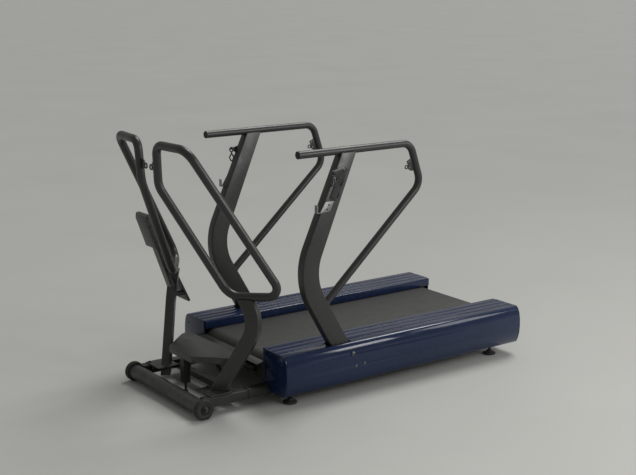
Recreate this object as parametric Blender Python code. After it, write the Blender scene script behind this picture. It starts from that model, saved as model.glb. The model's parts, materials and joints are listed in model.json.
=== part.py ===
"""Non-motorized treadmill with handrails, push loops and a front stand.

Metres, +Z up. X runs across the deck, Y along it, and the front is at -Y.
"""
import math

import bmesh
import bpy
from mathutils import Matrix, Vector

# Gaps
GAP = 0.0003
RUN_GAP = 0.0005
EASY_GAP = 0.003

# Deck outline
DECK_FRONT = -0.541
DECK_REAR = 1.0205
COVER_TOP = 0.268
COVER_INNER_X = 0.275
COVER_EDGE_X = 0.4625
COVER_BULGE_X = 0.494
COVER_BOTTOM = 0.057
COVER_WALL = 0.004
COVER_LIP = 0.022
COVER_ROUND = 0.004
COVER_TUCK = 0.008
COVER_SIDE = ((0.48, 0.06), (0.76, 0.16), (0.95, 0.32), (1.0, 0.51), (0.90, 0.70), (0.60, 0.86), (0.20, 0.97))
GROOVE_COUNT = 3
GROOVE_WIDTH = 0.007
GROOVE_DEPTH = 0.002
CAP_THICK = 0.006
CAP_INNER_X = 0.286
CAP_CORNER = 0.012

# Main frame
RAIL_INNER_X = 0.350
RAIL_OUTER_X = 0.400
RAIL_BOTTOM = 0.062
RAIL_TOP = 0.190
TUBE_WALL = 0.004
CROSS_HEIGHT = 0.045
CROSS_WIDTH = 0.050
CROSS_FRONT_Y = -0.430
CROSS_REAR_Y = 0.825
SUPPORT_BOTTOM = 0.155
SUPPORT_FRONT_Y = -0.270
SUPPORT_REAR_Y = 0.650

# Running belt, board and rollers
BELT_TOP = 0.223
BELT_THICK = 0.005
BELT_HALF = 0.2835
BELT_NOSE_GAP = 0.005
SKIRT_GAP = 0.0025
BOARD_THICK = 0.018
BOARD_END_GAP = 0.012
ROLLER_R = 0.050
ROLLER_WALL = 0.006
ROLLER_HUB = 0.030
ROLLER_HALF = 0.285
SHAFT_R = 0.0125
REAR_ROLLER_SETBACK = 0.071
BEARING_HALF = 0.030
BEARING_THICK = 0.031
BELT_ARC_STEPS = 16

# Flywheel and its belt drive
FLYWHEEL_R = 0.080
FLYWHEEL_THICK = 0.032
FLYWHEEL_Y = -0.352
FLYWHEEL_RIM = 0.020
FLYWHEEL_WEB = 0.010
ROLLER_PULLEY_R = 0.045
FLYWHEEL_PULLEY_R = 0.020
PULLEY_THICK = 0.012
PULLEY_OFFSET = 0.0035
DRIVE_BELT_THICK = 0.003
MAGNET_WIDTH = 0.028
MAGNET_LENGTH = 0.036
MAGNET_DEPTH = 0.014
MAGNET_ARM_LOW = 0.004
MAGNET_ARM_HIGH = 0.010
DRIVE_BELT_INSET = 0.001

# Deck uprights and handrails
UPRIGHT_WIDTH = 0.050
UPRIGHT_DEPTH_LOW = 0.098
UPRIGHT_DEPTH_TOP = 0.084
UPRIGHT_FOOT = (-0.0854, 0.090)
UPRIGHT_KNEE = (-0.398, 0.630)
UPRIGHT_HEAD_Y = -0.1425
UPRIGHT_BEND_R = 0.280
CORNER_CHAMFER = 0.005
HANDRAIL_R = 0.019
HANDRAIL_WALL = 0.003
HANDRAIL_Z = 1.2375
HANDRAIL_FRONT_Y = -0.430
HANDRAIL_TOP_CORNER = (0.265, HANDRAIL_Z)
HANDRAIL_LOW_CORNER = (0.337, 1.024)
HANDRAIL_FOOT_Z = 0.487
HANDRAIL_TOP_BEND = 0.070
HANDRAIL_LOW_BEND = 0.080
HANDRAIL_CAP = 0.006
PLUG_LENGTH = 0.020
LUG_THICK = 0.006
LUG_EYE_R = 0.0042
RING_R = 0.0085
RING_WIRE = 0.0030
RAIL_LUG = ((0.245, 1.143), (0.252, 1.129), (0.255, 1.105), (0.275, 1.0935), (0.2965, 1.0935),
            (0.2775, 1.157), (0.269, 1.157))
RAIL_LUG_EYES = ((0.2605, 1.1405), (0.2665, 1.111))
RAIL_LUG_RING = (0.2435, 1.1155)

# Push loops
LOOP_R = 0.0208
LOOP_TOP_INNER = (0.092, -1.001, 1.299)
LOOP_TOP_OUTER = (0.341, -0.980, 1.300)
LOOP_LOW_OUTER = (0.516, -0.568, 0.583)
LOOP_LOW_INNER = (0.277, -0.724, 0.559)
LOOP_KNEE = (0.084, -0.990, 1.099)
LOOP_BENDS = (0.050, 0.080, 0.060, 0.100, 0.120)
LOOP_LUG_Z = 1.187
LOOP_LUG_LENGTH = 0.034
LOOP_LUG_HEIGHT = 0.052
LOOP_RING_R = 0.0115
LOOP_RING_WIRE = 0.0040

# Front stand
TUBE_Y = -0.925
TUBE_Z = 0.050
CROSS_TUBE_R = 0.038
CROSS_TUBE_WALL = 0.004
WHEEL_R = 0.050
WHEEL_WIDTH = 0.030
WHEEL_HUB_R = 0.020
AXLE_R = 0.008
ARM_INNER_X = 0.285
ARM_WIDTH = 0.050
ARM_BOTTOM = 0.042
ARM_TOP = 0.090
WHEEL_SIDE_GAP = 0.002
FOOT_PLATE_THICK = 0.006
STAND_TURN = math.radians(33.0)
STAND_WIDTH = 0.050
STAND_DEPTH = 0.072
STAND_FOOT = (0.242, -0.800, 0.045)
STAND_KNEE = (0.414, -0.660, 0.430)
STAND_HEAD = (0.353, -0.674, 0.552)
STAND_KNEE_BEND = 0.150
STAND_FLARE = 0.008
STAND_FLARE_HEIGHT = 0.12
FLANGE_INNER_X = 0.188
FLANGE_OUTER_X = 0.326
FLANGE_FRONT_Y = -0.872
FLANGE_REAR_Y = -0.752
FLANGE_BOLTS = ((0.199, -0.815), (0.311, -0.858), (0.311, -0.766))
FLANGE_BOLT_R = 0.0065
FLANGE_BOLT_TALL = 0.006
COLLAR_Y = -0.655
COLLAR_WIDTH = 0.014
COLLAR_THICK = 0.003
PIN_Y = -0.852
PIN_Z = 0.068
PIN_R = 0.005
PIN_KNOB_R = 0.014
PIN_KNOB_LENGTH = 0.024
PIN_SHANK = 0.026
PIN_NECK_SHARE = 0.6

# Step platform
STEP_TOP = 0.236
STEP_SKIRT = 0.034
STEP_WALL = 0.004
STEP_OUTLINE = ((0.28, -0.640), (0.25, -0.700), (0.11, -0.850))
LEG_X = -0.040
LEG_Y = -0.800
LEG_SIDE = 0.038
LEG_BOTTOM = 0.052
LEG_FOOT_R = 0.012
LEG_FOOT_TALL = 0.012
LEG_STEM_R = 0.006
LEG_STEM_IN = 0.002
STEP_FRAME_Y = -0.700
STEP_FRAME_SIDE = 0.030
STEP_POST_X = 0.195
STEP_STRUT_X = 0.060
STEP_STRUT_SECTION = (0.018, 0.014)
STEP_POST_INSET = 0.001
STRUT_OVERLAP = 0.004

# Nose of the deck
NOSE_HALF = 0.300
NOSE_TOP = 0.203
NOSE_BOTTOM = 0.125
NOSE_REACH = 0.049
NOSE_DROP = 0.007
SHEET = 0.003
NOSE_BAR_HALF = 0.240
NOSE_BAR_SIDE = 0.030
NOSE_BAR_Z = 0.152

# Console on the right upright
CONSOLE_X = -0.362
CONSOLE_FOOT = (-0.692, 0.470)
CONSOLE_HEAD = (-0.836, 0.868)
CONSOLE_BAR_WIDTH = 0.054
CONSOLE_BAR_DEPTH = 0.024
CONSOLE_BOX_LENGTH = 0.185
CONSOLE_BOX_X = -0.381
CONSOLE_BOX_WIDTH = 0.125
CONSOLE_BOX_DEPTH = 0.040
PANEL_INNER_X = -0.410
PANEL_WIDTH = 0.115
PANEL_THICK = 0.012
PANEL_FOOT = (-0.549, 0.357)
PANEL_TOP_Z = 0.530
PANEL_LEAN = 0.47
PANEL_ARM_Z = 0.400
PANEL_ARM_THICK = 0.016
PANEL_ARM_HALF = 0.018
PANEL_ARM_INSET = 0.004

# Things fixed to the deck uprights
BRACKET_THICK = 0.004
BRACKET_CENTRE_Z = 1.082
BRACKET_LENGTH = 0.170
BRACKET_WIDTH = 0.046
HOOK_PIN = (-0.244, 1.143)
HOOK_PIN_R = 0.0028
HOOK_PIN_LENGTH = 0.016
HOOK_HEAD_R = 0.006
HOOK_RING_R = 0.0115
HOOK_WIRE = 0.0034
HOOK_LOOP_HALF = 0.014
HOOK_LOOP_TALL = 0.050
JHOOK_LOW_Z = 0.947
JHOOK_HEIGHT = 0.053
JHOOK_PLATE_WIDTH = 0.054
JHOOK_REACH = 0.021
JHOOK_TIP = 0.040
JHOOK_WIDTH = 0.024
BOLTS = ((-0.137, 0.217, 0.0080), (-0.120, 0.148, 0.0060), (-0.066, 0.153, 0.0060))
BOLT_PROUD = 0.004
BOLT_HEAD_TALL = 0.008
BOLT_DOME_SHARE = 0.55
BOLT_PLATE_THICK = 0.006
BOLT_PLATE_EDGE = 0.012
BOLT_SHANK_R = 0.004
HOLE_EASE = 0.0012

# Levelling feet
FOOT_X = 0.402
FOOT_FRONT_Y = -0.460
FOOT_REAR_Y = 0.880
FOOT_PAD_R = 0.035
FOOT_PAD_HEIGHT = 0.016
FOOT_NECK_R = 0.014
FOOT_STEM_R = 0.006
FOOT_STEM_PROUD = 0.006
FOOT_TAB_HALF = 0.034
FOOT_TAB_THICK = 0.008
FOOT_TAB_REACH = 0.030
FOOT_PAD_EDGE = 0.003
FOOT_PAD_RIM = 0.009
FOOT_NECK_TALL = 0.008

# Worked out from the sizes above
BELT_OUT_R = ROLLER_R + RUN_GAP + BELT_THICK
ROLLER_Z = BELT_TOP - BELT_OUT_R
FRONT_ROLLER_Y = DECK_FRONT + BELT_NOSE_GAP + BELT_OUT_R
REAR_ROLLER_Y = DECK_REAR - REAR_ROLLER_SETBACK
RAIL_FRONT = DECK_FRONT + CAP_THICK + GAP
RAIL_REAR = DECK_REAR - CAP_THICK - GAP
UPRIGHT_X = RAIL_OUTER_X + GAP + UPRIGHT_WIDTH / 2
UPRIGHT_FACE_X = UPRIGHT_X + UPRIGHT_WIDTH / 2
PULLEY_X = RAIL_OUTER_X + PULLEY_OFFSET
FLYWHEEL_X = PULLEY_X + PULLEY_THICK + EASY_GAP
ARM_OUTER_X = ARM_INNER_X + ARM_WIDTH
WHEEL_X = ARM_OUTER_X + WHEEL_SIDE_GAP
CROSS_TUBE_HALF = WHEEL_X - GAP
FOOT_PLATE_TOP = ARM_TOP + GAP + FOOT_PLATE_THICK
SIDES = ((1, "left"), (-1, "right"))
ROUND = 12
FLAT_SHARE = math.cos(math.pi / ROUND)


def clear_scene():
    for old in list(bpy.data.objects):
        bpy.data.objects.remove(old, do_unlink=True)


def material(name, colour, roughness, metallic):
    mat = bpy.data.materials.new(name)
    mat.use_nodes = True
    shader = mat.node_tree.nodes["Principled BSDF"]
    shader.inputs["Base Color"].default_value = (*colour, 1.0)
    shader.inputs["Roughness"].default_value = roughness
    shader.inputs["Metallic"].default_value = metallic
    mat.diffuse_color = (*colour, 1.0)
    return mat


def make_materials():
    return {
        "frame": material("frame_paint", (0.045, 0.045, 0.043), 0.42, 0.3),
        "navy": material("navy_gloss", (0.012, 0.018, 0.055), 0.18, 0.0),
        "belt": material("belt_rubber", (0.060, 0.058, 0.053), 0.75, 0.0),
        "black": material("black_rubber", (0.012, 0.012, 0.012), 0.70, 0.0),
        "plastic": material("black_plastic", (0.020, 0.020, 0.020), 0.45, 0.0),
        "steel": material("bright_steel", (0.62, 0.62, 0.60), 0.30, 1.0),
        "wood": material("deck_board", (0.18, 0.11, 0.06), 0.60, 0.0),
        "iron": material("cast_iron", (0.10, 0.10, 0.10), 0.50, 0.8),
    }


def finish(name, bm, mat, origin=(0.0, 0.0, 0.0), smooth=True):
    """Turn a world-space bmesh into an object whose origin is at the given point."""
    bmesh.ops.recalc_face_normals(bm, faces=bm.faces)
    place = Vector(origin)
    bmesh.ops.translate(bm, verts=bm.verts, vec=-place)
    mesh = bpy.data.meshes.new(name)
    bm.to_mesh(mesh)
    bm.free()
    if smooth:
        mesh.shade_smooth()
        mesh.set_sharp_from_angle(angle=math.radians(35))
    obj = bpy.data.objects.new(name, mesh)
    obj.location = place
    bpy.context.scene.collection.objects.link(obj)
    if mat is not None:
        mesh.materials.append(mat)
    return obj


def tool(name, bm):
    """A guide object for a Boolean, left out of the build."""
    obj = finish(name, bm, None, smooth=False)
    obj.hide_render = True
    obj.display_type = "WIRE"
    return obj


def boolean(obj, other, operation):
    mod = obj.modifiers.new(operation.lower(), "BOOLEAN")
    mod.operation = operation
    mod.solver = "EXACT"
    mod.object = other


def cut(obj, bm):
    boolean(obj, tool(obj.name + "_cut", bm), "DIFFERENCE")


def join(obj, bm):
    boolean(obj, tool(obj.name + "_add", bm), "UNION")


def add_box(bm, low, high):
    size = Vector(high) - Vector(low)
    middle = (Vector(high) + Vector(low)) / 2
    place = Matrix.Translation(middle) @ Matrix.Diagonal((abs(size.x), abs(size.y), abs(size.z), 1.0))
    bmesh.ops.create_cube(bm, size=1.0, matrix=place)
    return bm


def box(low, high):
    return add_box(bmesh.new(), low, high)


def sided_box(side, low, high):
    return box((side * low[0], low[1], low[2]), (side * high[0], high[1], high[2]))


def ring_faces(bm, one, two):
    count = len(one)
    for i in range(count):
        j = (i + 1) % count
        bm.faces.new((one[i], one[j], two[j], two[i]))


def prism(outline, low, high, place):
    """Extrude an outline of (a, b) points between two levels; place maps (a, b, level) to a point."""
    bm = bmesh.new()
    bottom = [bm.verts.new(place(a, b, low)) for a, b in outline]
    top = [bm.verts.new(place(a, b, high)) for a, b in outline]
    ring_faces(bm, bottom, top)
    bm.faces.new(list(reversed(bottom)))
    bm.faces.new(top)
    return bm


def along_x(a, b, level):
    return Vector((level, a, b))


def along_y(a, b, level):
    return Vector((a, level, b))


def along_z(a, b, level):
    return Vector((a, b, level))


def lathe(profile, centre, axis, steps):
    """Turn a closed profile of (distance along the axis, radius) points about the axis."""
    bm = bmesh.new()
    along = Vector(axis).normalized()
    across = along.orthogonal().normalized()
    other = along.cross(across)
    rows = []
    for distance, radius in profile:
        base = Vector(centre) + along * distance
        if radius < 1e-7:
            rows.append([bm.verts.new(base)])
            continue
        row = []
        for step in range(steps):
            angle = 2 * math.pi * step / steps
            row.append(bm.verts.new(base + (across * math.cos(angle) + other * math.sin(angle)) * radius))
        rows.append(row)
    for index, one in enumerate(rows):
        two = rows[(index + 1) % len(rows)]
        if len(one) == 1 and len(two) == 1:
            continue
        for step in range(steps):
            after = (step + 1) % steps
            if len(one) == 1:
                bm.faces.new((one[0], two[after], two[step]))
            elif len(two) == 1:
                bm.faces.new((one[step], one[after], two[0]))
            else:
                bm.faces.new((one[step], one[after], two[after], two[step]))
    return bm


def cylinder(centre, axis, radius, length, steps=16):
    return lathe(((0, 0), (0, radius), (length, radius), (length, 0)), centre, axis, steps)


def rounded_path(corners, bends, steps, closed=False):
    """Points along straight runs joined by arcs; bends gives one radius for each bent corner."""
    points = [Vector(c) for c in corners]
    count = len(points)
    path = []
    for index, corner in enumerate(points):
        if not closed and index in (0, count - 1):
            path.append(corner)
            continue
        radius = bends[index] if closed else bends[index - 1]
        back = (points[index - 1] - corner).normalized()
        ahead = (points[(index + 1) % count] - corner).normalized()
        angle = back.angle(ahead)
        run = radius / math.tan(angle / 2)
        centre = corner + (back + ahead).normalized() * (radius / math.sin(angle / 2))
        start = corner + back * run - centre
        end = corner + ahead * run - centre
        turn = start.angle(end)
        for step in range(steps + 1):
            part = step / steps
            mix = (start * math.sin((1 - part) * turn) + end * math.sin(part * turn)) / math.sin(turn)
            path.append(centre + mix)
    return path


def tangents(path, closed):
    result = []
    count = len(path)
    for index in range(count):
        before = path[index - 1] if closed or index > 0 else path[0]
        after = path[(index + 1) % count] if closed or index < count - 1 else path[-1]
        into = path[index] - before
        out = after - path[index]
        total = Vector()
        for leg in (into, out):
            if leg.length > 1e-9:
                total += leg.normalized()
        result.append(total.normalized())
    return result


def slide_to_plane(points, direction, plane):
    """Move points along a direction until they lie on a plane given by point and normal."""
    point, normal = (Vector(v) for v in plane)
    return [p + direction * ((point - p).dot(normal) / direction.dot(normal)) for p in points]


def skin(outer, inner, closed):
    """Faces over rings of points; an inner set of rings makes the shape a hollow tube."""
    bm = bmesh.new()
    sets = []
    for rings in (outer, inner):
        if rings:
            sets.append([[bm.verts.new(p) for p in ring] for ring in rings])
    for rings in sets:
        for index in range(len(rings) - (0 if closed else 1)):
            ring_faces(bm, rings[index], rings[(index + 1) % len(rings)])
    if not closed:
        for end in (0, -1):
            if inner:
                ring_faces(bm, sets[0][end], sets[1][end])
            else:
                bm.faces.new(sets[0][end])
    return bm


def round_tube(path, radius, wall=0.0, closed=False, planes=(None, None), sides=ROUND):
    """A round bar or, with a wall, a tube along a path."""
    dirs = tangents(path, closed)
    across = dirs[0].orthogonal().normalized()
    frames = []
    for index, direction in enumerate(dirs):
        if index:
            across = dirs[index - 1].rotation_difference(direction) @ across
        across = (across - direction * across.dot(direction)).normalized()
        frames.append(across.copy())
    twist = 0.0
    if closed:
        home = dirs[-1].rotation_difference(dirs[0]) @ frames[-1]
        twist = math.atan2(home.cross(frames[0]).dot(dirs[0]), home.dot(frames[0]))
    outer = []
    inner = []
    for index, point in enumerate(path):
        spin = Matrix.Rotation(twist * index / len(path), 3, dirs[index])
        first = spin @ frames[index]
        second = dirs[index].cross(first)
        for rings, size in ((outer, radius), (inner, radius - wall)):
            ring = []
            for step in range(sides):
                angle = 2 * math.pi * (step + 0.5) / sides
                ring.append(point + first * (size * math.cos(angle)) + second * (size * math.sin(angle)))
            rings.append(ring)
    for rings in (outer, inner):
        for end, plane in zip((0, -1), planes):
            if plane is not None:
                rings[end] = slide_to_plane(rings[end], dirs[end], plane)
    return skin(outer, inner if wall else None, closed)


def chamfered(half_a, half_b, chamfer):
    short_a = half_a - chamfer
    short_b = half_b - chamfer
    return ((half_a, -short_b), (half_a, short_b), (short_a, half_b), (-short_a, half_b),
            (-half_a, short_b), (-half_a, -short_b), (-short_a, -half_b), (short_a, -half_b))


def box_tube(path, depths, width, side_axis, wall, planes, chamfer=CORNER_CHAMFER):
    """A rectangular tube along a flat path; depths lie in the path's plane, width across it."""
    dirs = tangents(path, False)
    outer = []
    inner = []
    for point, direction, depth in zip(path, dirs, depths):
        across = Vector(side_axis)
        across = (across - direction * across.dot(direction)).normalized()
        normal = direction.cross(across)
        for rings, less, corner in ((outer, 0.0, chamfer), (inner, wall, chamfer / 2)):
            section = chamfered(depth / 2 - less, width / 2 - less, corner)
            rings.append([point + normal * a + across * b for a, b in section])
    for rings in (outer, inner):
        for end, plane in zip((0, -1), planes):
            if plane is not None:
                rings[end] = slide_to_plane(rings[end], dirs[end], plane)
    return skin(outer, inner if wall else None, False)


def straight_box_tube(start, end, depth, width, side_axis, wall=TUBE_WALL, chamfer=0.003):
    path = [Vector(start), Vector(end)]
    return box_tube(path, (depth, depth), width, side_axis, wall, (None, None), chamfer)


def torus(centre, normal, radius, wire, steps=14, sides=6):
    path = []
    across = Vector(normal).orthogonal().normalized()
    other = Vector(normal).normalized().cross(across)
    for step in range(steps):
        angle = 2 * math.pi * step / steps
        path.append(Vector(centre) + (across * math.cos(angle) + other * math.sin(angle)) * radius)
    return round_tube(path, wire, closed=True, sides=sides)


# Deck covers and end caps

def cover_outer():
    """The cover's outer line in (x, z), from the inner skirt over the top and down the side."""
    skirt = BELT_TOP + SKIRT_GAP
    line = [(COVER_INNER_X, skirt), (COVER_INNER_X, COVER_TOP - COVER_ROUND),
            (COVER_INNER_X + COVER_ROUND, COVER_TOP), (COVER_EDGE_X, COVER_TOP)]
    drop = COVER_TOP - COVER_BOTTOM
    bulge = COVER_BULGE_X - COVER_EDGE_X
    line += [(COVER_EDGE_X + bulge * out, COVER_TOP - drop * down) for out, down in COVER_SIDE]
    line.append((COVER_EDGE_X - COVER_TUCK, COVER_BOTTOM))
    line.append((COVER_EDGE_X - COVER_TUCK - COVER_LIP, COVER_BOTTOM))
    return line


def offset_line(line, distance):
    """A line moved sideways by the same distance everywhere, to its right."""
    moved = []
    for index, (x, z) in enumerate(line):
        normals = []
        for a, b in ((index - 1, index), (index, index + 1)):
            if 0 <= a and b < len(line):
                dx = line[b][0] - line[a][0]
                dz = line[b][1] - line[a][1]
                length = math.hypot(dx, dz)
                normals.append((dz / length, -dx / length))
        nx = sum(n[0] for n in normals) / len(normals)
        nz = sum(n[1] for n in normals) / len(normals)
        scale = distance / (nx * nx + nz * nz)
        moved.append((x + nx * scale, z + nz * scale))
    return moved


def grooved(line):
    """Add the long grooves to the flat top of the cover's line."""
    flat = (COVER_EDGE_X - COVER_INNER_X) / (GROOVE_COUNT + 1)
    extra = []
    for number in range(GROOVE_COUNT):
        x = COVER_INNER_X + flat * (number + 1)
        extra.append((x - GROOVE_WIDTH / 2, COVER_TOP))
        extra.append((x - GROOVE_WIDTH / 4, COVER_TOP - GROOVE_DEPTH))
        extra.append((x + GROOVE_WIDTH / 4, COVER_TOP - GROOVE_DEPTH))
        extra.append((x + GROOVE_WIDTH / 2, COVER_TOP))
    return line[:3] + extra + line[3:]


def side_cover(side, suffix, mats):
    line = cover_outer()
    section = grooved(line) + list(reversed(offset_line(line, COVER_WALL)))
    outline = [(side * x, z) for x, z in section]
    obj = finish("side_cover_" + suffix, prism(outline, RAIL_FRONT, RAIL_REAR, along_y), mats["navy"])
    half = UPRIGHT_WIDTH / 2 + EASY_GAP
    low = upright_edges(COVER_TOP - 2 * COVER_WALL)
    high = upright_edges(COVER_TOP + COVER_WALL)
    front = high[0] - EASY_GAP
    rear = low[1] + EASY_GAP
    cut(obj, sided_box(side, (UPRIGHT_X - half, front, COVER_TOP - 2 * COVER_WALL),
                       (UPRIGHT_X + half, rear, COVER_TOP + COVER_WALL)))
    for y, z, head in BOLTS:
        start = (side * (UPRIGHT_FACE_X + COVER_WALL), y, z)
        cut(obj, cylinder(start, (side, 0, 0), head + HOLE_EASE, COVER_BULGE_X - UPRIGHT_FACE_X + EASY_GAP))
    return obj


def cap_outline():
    line = cover_outer()[3:]
    inner_low = (CAP_INNER_X, COVER_BOTTOM + EASY_GAP)
    corner = [(CAP_INNER_X, COVER_TOP - CAP_CORNER), (CAP_INNER_X + CAP_CORNER, COVER_TOP)]
    return [inner_low] + corner + line[:-1]


def end_cap(side, suffix, end, mats):
    outline = [(side * x, z) for x, z in cap_outline()]
    if end == "front":
        low, high = DECK_FRONT, DECK_FRONT + CAP_THICK
    else:
        low, high = DECK_REAR - CAP_THICK, DECK_REAR
    obj = finish(end + "_end_cap_" + suffix, prism(outline, low, high, along_y), mats["navy"])
    if end == "front":
        reach = CAP_THICK
        cut(obj, sided_box(side, (CAP_INNER_X - reach, low - reach, 0.0),
                           (ARM_OUTER_X + EASY_GAP, high + reach, ARM_TOP + EASY_GAP)))
    return obj


# Main frame

def frame_rail(side, suffix, mats):
    middle = (RAIL_INNER_X + RAIL_OUTER_X) / 2
    height = (RAIL_TOP + RAIL_BOTTOM) / 2
    bm = straight_box_tube((side * middle, RAIL_FRONT, height), (side * middle, RAIL_REAR, height),
                           RAIL_TOP - RAIL_BOTTOM, RAIL_OUTER_X - RAIL_INNER_X, (1, 0, 0))
    obj = finish("frame_rail_" + suffix, bm, mats["frame"])
    for y in (FOOT_FRONT_Y, FOOT_REAR_Y):
        tab = sided_box(side, (RAIL_OUTER_X - TUBE_WALL / 2, y - FOOT_TAB_HALF, RAIL_BOTTOM),
                        (RAIL_OUTER_X + FOOT_TAB_REACH, y + FOOT_TAB_HALF, RAIL_BOTTOM + FOOT_TAB_THICK))
        join(obj, tab)
        cut(obj, cylinder((side * FOOT_X, y, RAIL_BOTTOM - TUBE_WALL), (0, 0, 1),
                          FOOT_STEM_R + RUN_GAP, TUBE_WALL + FOOT_TAB_THICK + FOOT_STEM_PROUD + EASY_GAP))
    if side > 0:
        start = RAIL_INNER_X - TUBE_WALL
        length = RAIL_OUTER_X - RAIL_INNER_X + 2 * TUBE_WALL
        for y in (FRONT_ROLLER_Y, FLYWHEEL_Y):
            cut(obj, cylinder((start, y, ROLLER_Z), (1, 0, 0), SHAFT_R + 2 * RUN_GAP, length))
    return obj


def cross_member(name, y, bottom, height, mats):
    half = RAIL_INNER_X - GAP
    z = bottom + height / 2
    bm = straight_box_tube((-half, y, z), (half, y, z), height, CROSS_WIDTH, (0, 1, 0))
    return finish(name, bm, mats["frame"])


def deck_board(mats):
    top = BELT_TOP - BELT_THICK - GAP
    front = FRONT_ROLLER_Y + BELT_OUT_R + BOARD_END_GAP
    rear = REAR_ROLLER_Y - BELT_OUT_R - BOARD_END_GAP
    bm = box((-BELT_HALF, front, top - BOARD_THICK), (BELT_HALF, rear, top))
    return finish("deck_board", bm, mats["wood"])


def support_height():
    return BELT_TOP - BELT_THICK - BOARD_THICK - 2 * GAP - SUPPORT_BOTTOM


def belt_loop(one, two, one_r, two_r):
    """A tight belt line round two wheels in (y, z); the first wheel lies towards the front."""
    gap = two[0] - one[0]
    lean = math.asin((one_r - two_r) / gap)
    points = []
    for centre, radius, start in ((one, one_r, math.pi / 2 - lean), (two, two_r, -math.pi / 2 + lean)):
        turn = math.pi + 2 * lean if centre is one else math.pi - 2 * lean
        for step in range(BELT_ARC_STEPS + 1):
            angle = start + turn * step / BELT_ARC_STEPS
            points.append((centre[0] + radius * math.cos(angle), centre[1] + radius * math.sin(angle)))
    return points


def band(outer, inner, low, high):
    """A closed belt between two lines in (y, z) from one x to another."""
    bm = bmesh.new()
    rows = []
    for line, x in ((outer, low), (outer, high), (inner, high), (inner, low)):
        rows.append([bm.verts.new((x, y, z)) for y, z in line])
    for index in range(4):
        ring_faces(bm, rows[index], rows[(index + 1) % 4])
    return bm


def running_belt(mats):
    one = (FRONT_ROLLER_Y, ROLLER_Z)
    two = (REAR_ROLLER_Y, ROLLER_Z)
    inner_r = ROLLER_R + RUN_GAP
    outer = belt_loop(one, two, BELT_OUT_R, BELT_OUT_R)
    inner = belt_loop(one, two, inner_r, inner_r)
    return finish("running_belt", band(outer, inner, -BELT_HALF, BELT_HALF), mats["belt"])


def roller(name, y, left_end, mats):
    """A drum with a hub at its middle and a shaft that runs in the bearings.

    left_end is the outline of the shaft's end on the left, as (x, radius) points.
    """
    right_end = -(RAIL_INNER_X - GAP)
    inner = ROLLER_R - ROLLER_WALL
    profile = ((right_end, 0), (right_end, SHAFT_R), (-ROLLER_HUB, SHAFT_R), (-ROLLER_HUB, inner),
               (-ROLLER_HALF, inner), (-ROLLER_HALF, ROLLER_R), (ROLLER_HALF, ROLLER_R),
               (ROLLER_HALF, inner), (ROLLER_HUB, inner), (ROLLER_HUB, SHAFT_R), *left_end)
    centre = (0, y, ROLLER_Z)
    return finish(name, lathe(profile, centre, (1, 0, 0), 24), mats["steel"], centre)


def plain_end():
    end = RAIL_INNER_X - GAP
    return ((end, SHAFT_R), (end, 0))


def pulley_end():
    """The shaft's end with the drive pulley keyed on it."""
    end = PULLEY_X + PULLEY_THICK
    return ((PULLEY_X, SHAFT_R), (PULLEY_X, ROLLER_PULLEY_R), (end, ROLLER_PULLEY_R), (end, 0))


def bearing(name, side, places, mats):
    """A housing on the rail's inner face with a bore for each shaft."""
    inner = RAIL_INNER_X - GAP - BEARING_THICK
    block = sided_box(side, (inner, min(places) - BEARING_HALF, ROLLER_Z - BEARING_HALF),
                      (RAIL_INNER_X - GAP, max(places) + BEARING_HALF, RAIL_TOP - TUBE_WALL))
    obj = finish(name, block, mats["iron"])
    for y in places:
        start = (side * (inner - TUBE_WALL), y, ROLLER_Z)
        cut(obj, cylinder(start, (side, 0, 0), SHAFT_R + RUN_GAP, BEARING_THICK + 2 * TUBE_WALL, 24))
    return obj


# Belt drive and flywheel

def flywheel(mats):
    """Disc, small pulley and shaft turned as one piece."""
    start = RAIL_INNER_X - GAP - BEARING_THICK - FLYWHEEL_X
    pulley = PULLEY_X - FLYWHEEL_X
    rim_in = FLYWHEEL_R - FLYWHEEL_RIM
    web = (FLYWHEEL_THICK - FLYWHEEL_WEB) / 2
    end = FLYWHEEL_THICK
    profile = ((start, 0), (start, SHAFT_R), (pulley, SHAFT_R), (pulley, FLYWHEEL_PULLEY_R),
               (pulley + PULLEY_THICK, FLYWHEEL_PULLEY_R), (pulley + PULLEY_THICK, SHAFT_R), (web, SHAFT_R),
               (web, rim_in), (0, rim_in), (0, FLYWHEEL_R), (end, FLYWHEEL_R), (end, rim_in),
               (end - web, rim_in), (end - web, SHAFT_R), (end, SHAFT_R), (end, 0))
    centre = (FLYWHEEL_X, FLYWHEEL_Y, ROLLER_Z)
    return finish("flywheel", lathe(profile, centre, (1, 0, 0), 24), mats["iron"], centre)


def drive_belt(mats):
    one = (FRONT_ROLLER_Y, ROLLER_Z)
    two = (FLYWHEEL_Y, ROLLER_Z)
    inner = belt_loop(one, two, ROLLER_PULLEY_R + RUN_GAP, FLYWHEEL_PULLEY_R + RUN_GAP)
    outer_gap = RUN_GAP + DRIVE_BELT_THICK
    outer = belt_loop(one, two, ROLLER_PULLEY_R + outer_gap, FLYWHEEL_PULLEY_R + outer_gap)
    low = PULLEY_X + DRIVE_BELT_INSET
    high = PULLEY_X + PULLEY_THICK - DRIVE_BELT_INSET
    return finish("drive_belt", band(outer, inner, low, high), mats["black"])


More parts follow.
